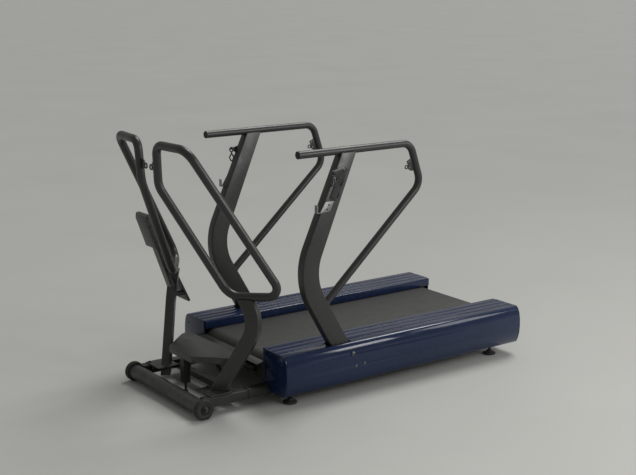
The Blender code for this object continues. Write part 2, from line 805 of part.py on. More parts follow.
def brake_magnet(mats):
    """A magnet block over the flywheel's rim on a foot that stands on the rail."""
    bottom = ROLLER_Z + FLYWHEEL_R + RUN_GAP
    low_x = FLYWHEEL_X + (FLYWHEEL_THICK - MAGNET_WIDTH) / 2
    low = (low_x, FLYWHEEL_Y - MAGNET_LENGTH / 2, bottom)
    high = (low_x + MAGNET_WIDTH, FLYWHEEL_Y + MAGNET_LENGTH / 2, bottom + MAGNET_DEPTH)
    obj = finish("brake_magnet", box(low, high), mats["iron"])
    arm = box((RAIL_INNER_X + TUBE_WALL, low[1], bottom + MAGNET_ARM_LOW),
              (low_x + TUBE_WALL, high[1], bottom + MAGNET_ARM_HIGH))
    join(obj, arm)
    foot = box((RAIL_INNER_X + TUBE_WALL, low[1], RAIL_TOP + GAP),
               (RAIL_INNER_X + 3 * TUBE_WALL, high[1], bottom + MAGNET_ARM_HIGH))
    join(obj, foot)
    return obj


# Deck uprights and handrails

def upright_line():
    foot = (0.0, *UPRIGHT_FOOT)
    knee = (0.0, *UPRIGHT_KNEE)
    head = (0.0, UPRIGHT_HEAD_Y, HANDRAIL_Z - HANDRAIL_R - GAP)
    return rounded_path((foot, knee, head), (UPRIGHT_BEND_R,), 7)


def upright_depth(z):
    """In-plane depth: constant up to the knee, then narrowing to the handrail."""
    top = HANDRAIL_Z - HANDRAIL_R
    part = max(0.0, (z - UPRIGHT_KNEE[1]) / (top - UPRIGHT_KNEE[1]))
    return UPRIGHT_DEPTH_LOW + (UPRIGHT_DEPTH_TOP - UPRIGHT_DEPTH_LOW) * part


def upright_edges(z):
    """Front and rear edge of a deck upright at a height, in y."""
    line = upright_line()
    for one, two in zip(line, line[1:]):
        if one.z <= z <= two.z:
            break
    part = (z - one.z) / (two.z - one.z)
    middle = one.y + (two.y - one.y) * part
    half = upright_depth(z) / 2 * (two - one).length / (two.z - one.z)
    return middle - half, middle + half


def lean_at(z):
    """Unit direction of a deck upright at a height, in (y, z)."""
    line = upright_line()
    for one, two in zip(line, line[1:]):
        if one.z <= z <= two.z:
            break
    run = (two - one).normalized()
    return run.y, run.z


def handrail_upright(side, suffix, mats):
    x = side * UPRIGHT_X
    path = [Vector((x, p.y, p.z)) for p in upright_line()]
    depths = [upright_depth(p.z) for p in path]
    planes = (((x, 0, path[0].z), (0, 0, 1)), ((x, 0, path[-1].z), (0, 0, 1)))
    bm = box_tube(path, depths, UPRIGHT_WIDTH, (1, 0, 0), TUBE_WALL, planes)
    return finish("handrail_upright_" + suffix, bm, mats["frame"])


def handrail_foot(x):
    """Where the handrail's lower run meets the upright's rear face, as a point and a normal."""
    lean_y, lean_z = lean_at(HANDRAIL_FOOT_Z)
    rear = upright_edges(HANDRAIL_FOOT_Z)[1]
    point = Vector((x, rear, HANDRAIL_FOOT_Z))
    normal = Vector((0, lean_z, -lean_y))
    return point + normal * RUN_GAP, normal


def handrail(side, suffix, mats):
    x = side * UPRIGHT_X
    foot, normal = handrail_foot(x)
    corners = ((x, HANDRAIL_FRONT_Y + HANDRAIL_CAP, HANDRAIL_Z), (x, *HANDRAIL_TOP_CORNER),
               (x, *HANDRAIL_LOW_CORNER), foot)
    path = rounded_path(corners, (HANDRAIL_TOP_BEND, HANDRAIL_LOW_BEND), 6)
    bm = round_tube(path, HANDRAIL_R, HANDRAIL_WALL, planes=(None, (foot, normal)))
    obj = finish("handrail_" + suffix, bm, mats["frame"])
    join(obj, prism(RAIL_LUG, x - LUG_THICK / 2, x + LUG_THICK / 2, along_x))
    for y, z in RAIL_LUG_EYES:
        cut(obj, cylinder((x - LUG_THICK, y, z), (1, 0, 0), LUG_EYE_R, 2 * LUG_THICK, 12))
    join(obj, torus((x, *RAIL_LUG_RING), (1, 0, 0), RING_R, RING_WIRE))
    return obj


def handrail_cap(side, suffix, mats):
    plug = (HANDRAIL_R - HANDRAIL_WALL) * FLAT_SHARE - GAP
    edge = HANDRAIL_R - 0.003
    profile = ((0, 0), (0, edge), (0.003, HANDRAIL_R), (HANDRAIL_CAP - GAP, HANDRAIL_R),
               (HANDRAIL_CAP - GAP, plug), (PLUG_LENGTH, plug), (PLUG_LENGTH, 0))
    centre = (side * UPRIGHT_X, HANDRAIL_FRONT_Y, HANDRAIL_Z)
    return finish("handrail_cap_" + suffix, lathe(profile, centre, (0, 1, 0), 24), mats["black"])


def upright_bolts(side, suffix, mats):
    """Backing plate on the upright's outer face with its three bolts."""
    near = UPRIGHT_FACE_X + GAP
    thick = BOLT_PLATE_THICK
    edge = BOLT_PLATE_EDGE
    lows = (min(y for y, _, _ in BOLTS) - edge, min(z for _, z, _ in BOLTS) - edge)
    highs = (max(y for y, _, _ in BOLTS) + edge, max(z for _, z, _ in BOLTS) + edge)
    plate = sided_box(side, (near, lows[0], lows[1]), (near + thick, highs[0], highs[1]))
    obj = finish("upright_bolts_" + suffix, plate, mats["steel"], smooth=False)
    tall = BOLT_HEAD_TALL
    head_x = COVER_BULGE_X + BOLT_PROUD - tall
    for y, z, head in BOLTS:
        shank = head_x - near - thick / 2
        profile = ((0, 0), (0, BOLT_SHANK_R), (shank, BOLT_SHANK_R), (shank, head),
                   (shank + tall * 0.6, head), (shank + tall, head * BOLT_DOME_SHARE), (shank + tall, 0))
        join(obj, lathe(profile, (side * (near + thick / 2), y, z), (side, 0, 0), 10))
    return obj


def tilted(centre_y, centre_z, lean, outline):
    """Place (along, across) points on a deck upright's face, in (y, z)."""
    ly, lz = lean
    return [(centre_y + a * ly - b * lz, centre_z + a * lz + b * ly) for a, b in outline]


def tether_bracket(side, suffix, mats):
    """Plate on the upright's outer face with a pin for the snap hook."""
    front, rear = upright_edges(BRACKET_CENTRE_Z)
    lean = lean_at(BRACKET_CENTRE_Z)
    half = BRACKET_LENGTH / 2
    wide = BRACKET_WIDTH / 2
    rise = Vector((HOOK_PIN[0] - (front + rear) / 2, HOOK_PIN[1] - BRACKET_CENTRE_Z))
    pin_along = rise.dot(Vector(lean))
    pin_across = rise.y * lean[0] - rise.x * lean[1]
    ear = 2.5 * HOOK_PIN_R
    outline = ((-half, -wide * 0.6), (-half, wide), (pin_along - 2 * ear, wide),
               (pin_along - ear, pin_across + ear / 2), (pin_along, pin_across + ear),
               (pin_along + ear, pin_across), (half, wide * 0.6), (half, -wide), (-half * 0.7, -wide))
    low = UPRIGHT_FACE_X + GAP
    high = low + BRACKET_THICK
    points = tilted((front + rear) / 2, BRACKET_CENTRE_Z, lean, outline)
    obj = finish("tether_bracket_" + suffix, prism(points, side * low, side * high, along_x), mats["frame"],
                 smooth=False)
    length = HOOK_PIN_LENGTH
    profile = ((0, 0), (0, HOOK_PIN_R), (length, HOOK_PIN_R), (length, HOOK_HEAD_R),
               (length + 0.003, HOOK_HEAD_R), (length + 0.003, 0))
    join(obj, lathe(profile, (side * (high - BRACKET_THICK / 2), *HOOK_PIN), (side, 0, 0), 12))
    screw_y, screw_z = tilted((front + rear) / 2, BRACKET_CENTRE_Z, lean, ((half * 0.8, -wide * 0.1),))[0]
    join(obj, cylinder((side * (high - BRACKET_THICK / 2), screw_y, screw_z), (side, 0, 0), 0.007,
                       BRACKET_THICK / 2 + 0.003, 12))
    return obj


def snap_hook(side, suffix, mats):
    """A ring on the bracket's pin with a closed hook below it."""
    x = side * (UPRIGHT_FACE_X + GAP + BRACKET_THICK + HOOK_PIN_LENGTH / 2)
    pin_y, pin_z = HOOK_PIN
    ring_z = pin_z - (HOOK_RING_R - HOOK_WIRE - HOOK_PIN_R - RUN_GAP)
    pin = (x, pin_y, pin_z)
    obj = finish("snap_hook_" + suffix, torus((x, pin_y, ring_z), (1, 0, 0), HOOK_RING_R, HOOK_WIRE),
                 mats["steel"], pin)
    top = ring_z - HOOK_RING_R - 0.010
    join(obj, cylinder((x, pin_y, top - 0.001), (0, 0, 1), HOOK_WIRE * 1.25, 0.0115, 10))
    corners = ((x, pin_y, top), (x, pin_y - HOOK_LOOP_HALF, top - HOOK_LOOP_TALL * 0.4),
               (x, pin_y, top - HOOK_LOOP_TALL), (x, pin_y + HOOK_LOOP_HALF, top - HOOK_LOOP_TALL * 0.4))
    path = rounded_path(corners, (0.004, 0.008, 0.007, 0.008), 3, closed=True)
    join(obj, round_tube(path, HOOK_WIRE, closed=True, sides=6))
    return obj


def j_hook(side, suffix, mats):
    """Plate on the outer face; a tongue runs forward under it and turns up in front of the upright."""
    low = UPRIGHT_FACE_X + GAP
    high = low + SHEET
    front_z = JHOOK_LOW_Z
    top_z = front_z + JHOOK_HEIGHT
    edge = upright_edges(front_z)[0]
    top_edge = upright_edges(top_z)[0]
    corners = ((edge - 2 * SHEET, front_z), (edge + JHOOK_PLATE_WIDTH, front_z + 2 * SHEET),
               (top_edge + JHOOK_PLATE_WIDTH, top_z), (top_edge + SHEET, top_z))
    plate = prism(corners, side * low, side * high, along_x)
    obj = finish("j_hook_" + suffix, plate, mats["steel"], smooth=False)
    start = edge - SHEET / 2
    reach = edge - JHOOK_REACH
    outline = ((start, front_z), (start, front_z + SHEET), (reach + SHEET, front_z + SHEET),
               (reach + SHEET, front_z + JHOOK_TIP), (reach, front_z + JHOOK_TIP), (reach, front_z))
    join(obj, prism(outline, side * (high - JHOOK_WIDTH), side * high, along_x))
    return obj


# Push loops

def mirrored(point, side):
    return (side * point[0], point[1], point[2])


def loop_line(side):
    corners = [mirrored(p, side) for p in
               (LOOP_TOP_INNER, LOOP_TOP_OUTER, LOOP_LOW_OUTER, LOOP_LOW_INNER, LOOP_KNEE)]
    return rounded_path(corners, LOOP_BENDS, 5, closed=True)


def push_loop(side, suffix, mats):
    obj = finish("push_loop_" + suffix, round_tube(loop_line(side), LOOP_R, closed=True), mats["frame"])
    top = Vector(LOOP_TOP_INNER)
    low = Vector(LOOP_KNEE)
    part = (LOOP_LUG_Z - low.z) / (top.z - low.z)
    root = low + (top - low) * part
    outer = root.x - LOOP_R + 0.003
    inner = outer - LOOP_LUG_LENGTH
    half = LOOP_LUG_HEIGHT / 2
    outline = [(side * x, z) for x, z in
               ((outer, LOOP_LUG_Z - half), (outer, LOOP_LUG_Z + half), (inner + 0.006, LOOP_LUG_Z + half),
                (inner, LOOP_LUG_Z + half * 0.4), (inner, LOOP_LUG_Z - half * 0.5))]
    join(obj, prism(outline, root.y - LUG_THICK / 2, root.y + LUG_THICK / 2, along_y))
    hole = (side * (inner + 0.008), root.y - LUG_THICK, LOOP_LUG_Z + half * 0.45)
    cut(obj, cylinder(hole, (0, 1, 0), LUG_EYE_R, 2 * LUG_THICK, 12))
    ring = (side * (inner - LOOP_RING_R + 0.001), root.y, LOOP_LUG_Z - half * 0.15)
    join(obj, torus(ring, (0, 1, 0), LOOP_RING_R, LOOP_RING_WIRE))
    return obj


# Front stand

def cross_tube(mats):
    half = CROSS_TUBE_HALF
    inner = CROSS_TUBE_R - CROSS_TUBE_WALL
    plug = half - 0.030
    hole = AXLE_R + GAP
    profile = ((-half, hole), (-half, CROSS_TUBE_R), (half, CROSS_TUBE_R), (half, hole), (plug, hole),
               (plug, inner), (-plug, inner), (-plug, hole))
    bm = lathe(profile, (0, TUBE_Y, TUBE_Z), (1, 0, 0), 24)
    return finish("stand_cross_tube", bm, mats["frame"])


def transport_wheel(side, suffix, mats):
    """Wheel with rounded tread, raised hub and bore; its inner face lies next to the cross tube."""
    bore = AXLE_R + RUN_GAP
    width = WHEEL_WIDTH
    edge = 0.004
    profile = ((0, bore), (0, WHEEL_R - edge), (edge, WHEEL_R), (width - edge, WHEEL_R),
               (width, WHEEL_R - edge), (width, WHEEL_HUB_R + 0.004), (width - 0.003, WHEEL_HUB_R + 0.003),
               (width - 0.003, WHEEL_HUB_R), (width, WHEEL_HUB_R - 0.002), (width, bore))
    centre = (side * WHEEL_X, TUBE_Y, TUBE_Z)
    bm = lathe(profile, centre, (side, 0, 0), 28)
    return finish("transport_wheel_" + suffix, bm, mats["black"], centre)


def wheel_axle(mats):
    """Rod through the cross tube and both wheels, with a head at each end."""
    face = WHEEL_X + WHEEL_WIDTH + RUN_GAP
    head = AXLE_R + 0.005
    half = ((face, AXLE_R), (face, head), (face + 0.004, head), (face + 0.006, AXLE_R), (face + 0.006, 0))
    profile = [(-x, radius) for x, radius in reversed(half)] + list(half)
    return finish("wheel_axle", lathe(profile, (0, TUBE_Y, TUBE_Z), (1, 0, 0), 16), mats["steel"])


def stand_arm(side, suffix, mats):
    """Box tube from the cross tube back to the deck's front cross member."""
    x = side * (ARM_INNER_X + ARM_OUTER_X) / 2
    z = (ARM_BOTTOM + ARM_TOP) / 2
    rear = CROSS_FRONT_Y - CROSS_WIDTH / 2 - GAP
    bm = straight_box_tube((x, TUBE_Y, z), (x, rear, z), ARM_TOP - ARM_BOTTOM, ARM_WIDTH, (1, 0, 0))
    obj = finish("stand_arm_" + suffix, bm, mats["frame"])
    cope = cylinder((x - ARM_WIDTH, TUBE_Y, TUBE_Z), (1, 0, 0), CROSS_TUBE_R + GAP, 2 * ARM_WIDTH, 48)
    cut(obj, cope)
    reach = CROSS_TUBE_R
    cut(obj, box((x - ARM_WIDTH, TUBE_Y - reach, 0.0), (x + ARM_WIDTH, TUBE_Y + reach / 2, COVER_TOP)))
    start = (side * (ARM_INNER_X - TUBE_WALL), PIN_Y, PIN_Z)
    cut(obj, cylinder(start, (side, 0, 0), PIN_R + RUN_GAP, 3 * TUBE_WALL))
    return obj


def arm_collar(side, suffix, mats):
    """Black clip that straddles the arm."""
    low_x = ARM_INNER_X - GAP
    high_x = ARM_OUTER_X + GAP
    top = ARM_TOP + GAP
    thick = COLLAR_THICK
    bottom = ARM_BOTTOM + thick
    outline = ((low_x, bottom), (low_x, top), (high_x, top), (high_x, bottom), (high_x + thick, bottom),
               (high_x + thick, top + thick), (low_x - thick, top + thick), (low_x - thick, bottom))
    outline = [(side * x, z) for x, z in outline]
    bm = prism(outline, COLLAR_Y - COLLAR_WIDTH / 2, COLLAR_Y + COLLAR_WIDTH / 2, along_y)
    return finish("arm_collar_" + suffix, bm, mats["plastic"], smooth=False)


def locking_pin(side, suffix, mats):
    """Knob on the arm's inner side; the pin slides in the arm's wall."""
    near = ARM_INNER_X - RUN_GAP
    length = PIN_KNOB_LENGTH
    neck = PIN_KNOB_R * PIN_NECK_SHARE
    profile = ((-PIN_SHANK, 0), (-PIN_SHANK, PIN_R), (0, PIN_R), (0, neck), (length * 0.25, neck),
               (length * 0.4, PIN_KNOB_R), (length * 0.85, PIN_KNOB_R), (length, neck), (length, 0))
    centre = (side * near, PIN_Y, PIN_Z)
    bm = lathe(profile, centre, (-side, 0, 0), 16)
    return finish("locking_pin_" + suffix, bm, mats["plastic"], centre)


def join_foot_plate(obj, side):
    """Plate welded round the stand upright's foot, with the bolts that hold it on the arm."""
    low = (FLANGE_INNER_X, FLANGE_FRONT_Y, ARM_TOP + GAP)
    join(obj, sided_box(side, low, (FLANGE_OUTER_X, FLANGE_REAR_Y, FOOT_PLATE_TOP)))
    for x, y in FLANGE_BOLTS:
        middle = (side * x, y, FOOT_PLATE_TOP - FOOT_PLATE_THICK / 2)
        join(obj, cylinder(middle, (0, 0, 1), FLANGE_BOLT_R, FOOT_PLATE_THICK / 2 + FLANGE_BOLT_TALL, 6))


def stand_line(side):
    corners = [mirrored(point, side) for point in (STAND_FOOT, STAND_KNEE, STAND_HEAD)]
    return rounded_path(corners, (STAND_KNEE_BEND,), 6)


def stand_shape(side, wall, grow):
    """The curved box tube; without a wall and grown by a gap it is the cutter for what sits on it."""
    path = stand_line(side)
    depths = [STAND_DEPTH + 2 * grow + STAND_FLARE * max(0.0, 1 - (p.z - path[0].z) / STAND_FLARE_HEIGHT)
              for p in path]
    across = (-side * math.sin(STAND_TURN), math.cos(STAND_TURN), 0)
    planes = (((0, 0, path[0].z), (0, 0, 1)), (path[-1], (0, 0, 1)))
    return box_tube(path, depths, STAND_WIDTH + 2 * grow, across, wall, planes)


def stand_upright(side, suffix, mats):
    obj = finish("stand_upright_" + suffix, stand_shape(side, TUBE_WALL, 0.0), mats["frame"])
    arm_room = (ARM_INNER_X - GAP, TUBE_Y, 0.0)
    cut(obj, sided_box(side, arm_room, (COVER_BULGE_X, CROSS_FRONT_Y, ARM_TOP + GAP)))
    join_foot_plate(obj, side)
    cut(obj, round_tube(loop_line(side), LOOP_R + GAP, closed=True))
    return obj


# Step platform

def step_outline(inset=0.0):
    rear, flank, front = STEP_OUTLINE
    right = [(rear[0] - inset, rear[1] - inset), (flank[0] - inset, flank[1]),
             (front[0] - inset * 0.6, front[1] + inset)]
    left = [(-x, y) for x, y in reversed(right)]
    return right + left


def step_platform(mats):
    """Plate with a skirt all round, open below, on a leg with a round foot."""
    bm = bmesh.new()
    outer = step_outline()
    inner = step_outline(STEP_WALL)
    low = STEP_TOP - STEP_SKIRT
    rows = []
    for line, z in ((outer, low), (outer, STEP_TOP), (inner, STEP_TOP - STEP_WALL), (inner, low)):
        rows.append([bm.verts.new((x, y, z)) for x, y in line])
    ring_faces(bm, rows[0], rows[1])
    ring_faces(bm, rows[2], rows[3])
    ring_faces(bm, rows[3], rows[0])
    bm.faces.new(rows[1])
    bm.faces.new(rows[2])
    obj = finish("step_platform", bm, mats["frame"], smooth=False)
    top = STEP_TOP - STEP_WALL / 2
    half = LEG_SIDE / 2
    join(obj, box((LEG_X - half, LEG_Y - half, LEG_BOTTOM), (LEG_X + half, LEG_Y + half, top)))
    stem_top = LEG_BOTTOM + LEG_STEM_IN
    profile = ((0, 0), (0, LEG_FOOT_R), (LEG_FOOT_TALL, LEG_FOOT_R), (LEG_FOOT_TALL, LEG_STEM_R),
               (stem_top, LEG_STEM_R), (stem_top, 0))
    join(obj, lathe(profile, (LEG_X, LEG_Y, 0), (0, 0, 1), 16))
    return obj


def platform_frame(mats):
    """Cross bar between the arms with two posts and struts under the platform."""
    side = STEP_FRAME_SIDE
    reach = ARM_INNER_X - GAP
    low = ARM_BOTTOM + GAP
    top = STEP_TOP - STEP_WALL - GAP
    half = side / 2
    bm = box((-reach, STEP_FRAME_Y - half, low), (reach, STEP_FRAME_Y + half, low + side))
    obj = finish("platform_frame", bm, mats["frame"], smooth=False)
    for sign in (1, -1):
        x = sign * STEP_POST_X
        slim = half - STEP_POST_INSET
        join(obj, box((x - half, STEP_FRAME_Y - slim, low + half), (x + half, STEP_FRAME_Y + slim, top)))
        start = Vector((x, STEP_FRAME_Y, low + side))
        end = Vector((sign * STEP_STRUT_X, STEP_FRAME_Y, top - STRUT_OVERLAP))
        run = (end - start).normalized()
        deep, wide = STEP_STRUT_SECTION
        strut = box_tube([start - run * STRUT_OVERLAP, end], (deep, deep), wide, (0, 1, 0), 0.0,
                         (None, ((0, 0, top), (0, 0, 1))), 0.002)
        join(obj, strut)
    return obj


# Nose of the deck

def nose_plate(mats):
    """Bent sheet across the deck's front with a box bar on it."""
    rear = DECK_FRONT - GAP
    outline = ((rear, NOSE_BOTTOM), (rear, NOSE_TOP), (rear - NOSE_REACH, NOSE_TOP - NOSE_DROP),
               (rear - NOSE_REACH, NOSE_TOP - NOSE_DROP - SHEET), (rear - SHEET, NOSE_TOP - SHEET - 0.0005),
               (rear - SHEET, NOSE_BOTTOM))
    bm = prism(outline, -NOSE_HALF, NOSE_HALF, along_x)
    obj = finish("nose_plate", bm, mats["frame"], smooth=False)
    y = rear - SHEET / 2 - NOSE_BAR_SIDE / 2
    join(obj, straight_box_tube((-NOSE_BAR_HALF, y, NOSE_BAR_Z), (NOSE_BAR_HALF, y, NOSE_BAR_Z),
                                NOSE_BAR_SIDE, NOSE_BAR_SIDE, (0, 1, 0), SHEET))
    return obj


# Console

def console_bracket(mats):
    """Bar from the right stand upright up and forward into a housing."""
    foot = Vector((CONSOLE_X, *CONSOLE_FOOT))
    head = Vector((CONSOLE_X, *CONSOLE_HEAD))
    run = (head - foot).normalized()
    bar_end = head - run * (CONSOLE_BOX_LENGTH - 0.010)
    bm = box_tube([foot, bar_end], (CONSOLE_BAR_DEPTH,) * 2, CONSOLE_BAR_WIDTH, (1, 0, 0), 0.0,
                  (None, None), 0.003)
    obj = finish("console_bracket", bm, mats["frame"], smooth=False)
    top = Vector((CONSOLE_BOX_X, *CONSOLE_HEAD))
    path = [top - run * CONSOLE_BOX_LENGTH, top - run * 0.020, top]
    depths = (CONSOLE_BOX_DEPTH, CONSOLE_BOX_DEPTH, CONSOLE_BOX_DEPTH * 0.55)
    join(obj, box_tube(path, depths, CONSOLE_BOX_WIDTH, (1, 0, 0), 0.0, (None, None), 0.008))
    cut(obj, stand_shape(-1, 0.0, GAP))
    return obj


def console_panel(mats):
    """Leaning panel behind the right stand upright, held by a flat arm."""
    y, z = PANEL_FOOT
    top_y = y - PANEL_LEAN * (PANEL_TOP_Z - z)
    run = Vector((0, top_y - y, PANEL_TOP_Z - z)).normalized()
    normal = Vector((0, -run.z, run.y))
    thick = normal * PANEL_THICK
    outline = [(y, z), (top_y, PANEL_TOP_Z), (top_y + thick.y, PANEL_TOP_Z + thick.z),
               (y + thick.y, z + thick.z)]
    bm = prism(outline, PANEL_INNER_X, PANEL_INNER_X - PANEL_WIDTH, along_x)
    obj = finish("console_panel", bm, mats["plastic"], smooth=False)
    line = stand_line(-1)
    nearest = min(line, key=lambda p: abs(p.z - PANEL_ARM_Z))
    panel_y = y - PANEL_LEAN * (PANEL_ARM_Z - z) - PANEL_THICK / 2
    edge = PANEL_INNER_X - PANEL_ARM_INSET
    half = PANEL_ARM_THICK / 2
    low = (edge - 2 * PANEL_ARM_HALF, nearest.y, PANEL_ARM_Z - half)
    join(obj, box(low, (edge, panel_y, PANEL_ARM_Z + half)))
    cut(obj, stand_shape(-1, 0.0, GAP))
    return obj


# Levelling feet

def levelling_foot(name, side, y, mats):
    top = RAIL_BOTTOM + FOOT_TAB_THICK + FOOT_STEM_PROUD
    neck_top = FOOT_PAD_HEIGHT + FOOT_NECK_TALL
    profile = ((0, 0), (0, FOOT_PAD_R - FOOT_PAD_EDGE), (FOOT_PAD_EDGE, FOOT_PAD_R),
               (FOOT_PAD_RIM, FOOT_PAD_R), (FOOT_PAD_HEIGHT, FOOT_NECK_R), (neck_top, FOOT_NECK_R),
               (neck_top, FOOT_STEM_R), (top, FOOT_STEM_R), (top, 0))
    centre = (side * FOOT_X, y, 0)
    return finish(name, lathe(profile, centre, (0, 0, 1), 20), mats["black"], centre)


def build_deck(mats):
    cross_member("frame_cross_front", CROSS_FRONT_Y, RAIL_BOTTOM, CROSS_HEIGHT, mats)
    cross_member("frame_cross_rear", CROSS_REAR_Y, RAIL_BOTTOM, CROSS_HEIGHT, mats)
    cross_member("board_support_front", SUPPORT_FRONT_Y, SUPPORT_BOTTOM, support_height(), mats)
    cross_member("board_support_rear", SUPPORT_REAR_Y, SUPPORT_BOTTOM, support_height(), mats)
    deck_board(mats)
    running_belt(mats)
    roller("front_roller", FRONT_ROLLER_Y, pulley_end(), mats)
    roller("rear_roller", REAR_ROLLER_Y, plain_end(), mats)
    flywheel(mats)
    drive_belt(mats)
    brake_magnet(mats)
    nose_plate(mats)


def build_side(side, suffix, mats):
    frame_rail(side, suffix, mats)
    side_cover(side, suffix, mats)
    end_cap(side, suffix, "front", mats)
    end_cap(side, suffix, "rear", mats)
    front_shafts = (FRONT_ROLLER_Y, FLYWHEEL_Y) if side > 0 else (FRONT_ROLLER_Y,)
    bearing("front_bearing_" + suffix, side, front_shafts, mats)
    bearing("rear_bearing_" + suffix, side, (REAR_ROLLER_Y,), mats)
    handrail_upright(side, suffix, mats)
    handrail(side, suffix, mats)
    handrail_cap(side, suffix, mats)
    upright_bolts(side, suffix, mats)
    tether_bracket(side, suffix, mats)
    snap_hook(side, suffix, mats)
    j_hook(side, suffix, mats)
    push_loop(side, suffix, mats)
    transport_wheel(side, suffix, mats)
    stand_arm(side, suffix, mats)
    arm_collar(side, suffix, mats)
    locking_pin(side, suffix, mats)
    stand_upright(side, suffix, mats)
    levelling_foot("front_foot_" + suffix, side, FOOT_FRONT_Y, mats)
    levelling_foot("rear_foot_" + suffix, side, FOOT_REAR_Y, mats)


def main():
    clear_scene()
    mats = make_materials()
    build_deck(mats)
    for side, suffix in SIDES:
        build_side(side, suffix, mats)
    cross_tube(mats)
    wheel_axle(mats)
    step_platform(mats)
    platform_frame(mats)
    console_bracket(mats)
    console_panel(mats)


main()
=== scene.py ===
"""Looks of a non-motorized treadmill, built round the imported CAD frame.

Metres, +Z up. X runs across the deck, Y along it, and the front is at -Y.
"""

import json
import logging
import math
from contextlib import contextmanager
from dataclasses import dataclass, replace
from enum import Enum
from typing import Callable, Iterator, Sequence

import bmesh
import bpy
from mathutils import Matrix, Vector


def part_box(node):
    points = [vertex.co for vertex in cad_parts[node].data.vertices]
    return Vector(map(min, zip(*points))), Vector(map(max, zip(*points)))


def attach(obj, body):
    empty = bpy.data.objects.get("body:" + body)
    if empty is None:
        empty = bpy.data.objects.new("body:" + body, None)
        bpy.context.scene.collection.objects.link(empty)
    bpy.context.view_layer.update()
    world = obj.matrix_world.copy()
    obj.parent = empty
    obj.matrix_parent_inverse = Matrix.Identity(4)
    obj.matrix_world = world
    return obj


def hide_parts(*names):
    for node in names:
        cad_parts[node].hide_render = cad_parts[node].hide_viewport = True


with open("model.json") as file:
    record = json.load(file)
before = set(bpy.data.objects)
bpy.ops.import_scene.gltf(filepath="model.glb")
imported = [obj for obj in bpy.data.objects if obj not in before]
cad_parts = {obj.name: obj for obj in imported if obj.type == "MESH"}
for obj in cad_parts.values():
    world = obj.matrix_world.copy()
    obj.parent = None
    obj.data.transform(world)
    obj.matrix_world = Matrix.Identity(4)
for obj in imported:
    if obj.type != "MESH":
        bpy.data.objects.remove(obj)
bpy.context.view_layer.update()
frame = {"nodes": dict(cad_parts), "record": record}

LOG = logging.getLogger("treadmill")
ROOT = "frame"
Point = Sequence[float]
Colour = tuple[float, float, float]
Pair = tuple[float, float]
Socket = bpy.types.NodeSocket
Piece = bpy.types.Object

# Sizes that several classes share: the uprights' middle plane, the seat of what is screwed to their
# outer faces, the covers' widest point, the bolts in the covers' flanks as (y, z, radius), the eyes'
# radius and the rounding of small plates and of box tubes.
UPRIGHT_X = 0.4253
FITTING_X = 0.4506
BULGE_X = 0.494
COVER_BOLTS = ((-0.137, 0.217, 0.0080), (-0.120, 0.148, 0.0060), (-0.066, 0.153, 0.0060))
EYE_R = 0.0042
PLATE_EDGE = 0.0012
TUBE_EDGE = 0.0012
WELD_RIPPLES = 24

# What the finishes share: the clear coat, the grain's depth, the range of noise that shows, and where
# the paint wears: edges as sharp as EDGE_SPAN, broken up by spots.
COAT_ROUGHNESS = 0.06
GRAIN_DEPTH = 0.0004
NOISE_SPAN = (0.3, 0.7)
ROUGHNESS_NOISE = 3.3
EDGE_SPAN = (0.515, 0.60)
SPOT_SPAN = (0.42, 0.62)
SPOT_SCALE = 38.0


class Side(Enum):
    """A side of the machine; the value is its direction on X."""

    LEFT = 1
    RIGHT = -1


class Slot(Enum):
    """The record's material slots."""

    FRAME = "frame_paint"
    NAVY = "navy_gloss"
    BELT = "belt_rubber"
    RUBBER = "black_rubber"
    PLASTIC = "black_plastic"
    STEEL = "bright_steel"
    BOARD = "deck_board"
    IRON = "cast_iron"


class Graph:
    """A node material that is being put together."""

    def __init__(self, title: str) -> None:
        """Start a material.

        Args:
            title: its name.
        """
        self.material = bpy.data.materials.new(title)
        self.material.use_nodes = True
        self.shader = self.material.node_tree.nodes["Principled BSDF"]

    def add(self, kind: str, **values: float | Point | Socket) -> bpy.types.Node:
        """Add a node and set or link its inputs.

        Args:
            kind: the node's type.
            values: a constant or an output for each input; a _ in a key stands for a space.

        Returns:
            The node.
        """
        node = self.material.node_tree.nodes.new(kind)
        for key, value in values.items():
            self.feed(node.inputs[key.replace("_", " ")], value)
        return node

    def feed(self, entry: Socket, value: float | Point | Socket) -> None:
        """Set an input to a constant, or link an output to it.

        Args:
            entry: the input.
            value: the constant or the output.
        """
        if isinstance(value, Socket):
            self.material.node_tree.links.new(value, entry)
        else:
            entry.default_value = value

    def place(self, stretch: Point = (1.0, 1.0, 1.0)) -> Socket:
        """Return the object coordinates that the textures use, scaled on each axis."""
        source = self.add("ShaderNodeTexCoord").outputs["Object"]
        return self.add("ShaderNodeMapping", Vector=source, Scale=stretch).outputs["Vector"]

    def noise(self, place: Socket, scale: float, detail: float) -> Socket:
        """Return the value of a noise texture that this output places."""
        return self.add("ShaderNodeTexNoise", Vector=place, Scale=scale, Detail=detail).outputs["Fac"]

    def ranged(self, value: Socket, span: Pair, onto: Pair = (0.0, 1.0)) -> Socket:
        """Map a value from one range onto another."""
        ends = {"From_Min": span[0], "From_Max": span[1], "To_Min": onto[0], "To_Max": onto[1]}
        return self.add("ShaderNodeMapRange", Value=value, **ends).outputs["Result"]

    def mottled(self, value: Socket, colour: Colour, share: float, span: Pair = (0.0, 1.0)) -> Socket:
        """Turn a value into a colour between a darker and a lighter shade.

        Args:
            value: output with the value.
            colour: the middle colour.
            share: how much darker and lighter it gets, such as 0.1 for a tenth.
            span: values at which it is darkest and lightest.

        Returns:
            The output with the colour.
        """
        ramp = self.add("ShaderNodeValToRGB", Fac=value)
        for stop, position, change in zip(ramp.color_ramp.elements, span, (-share, share)):
            stop.position = position
            stop.color = (*(min(1.0, c * (1 + change)) for c in colour), 1.0)
        return ramp.outputs["Color"]


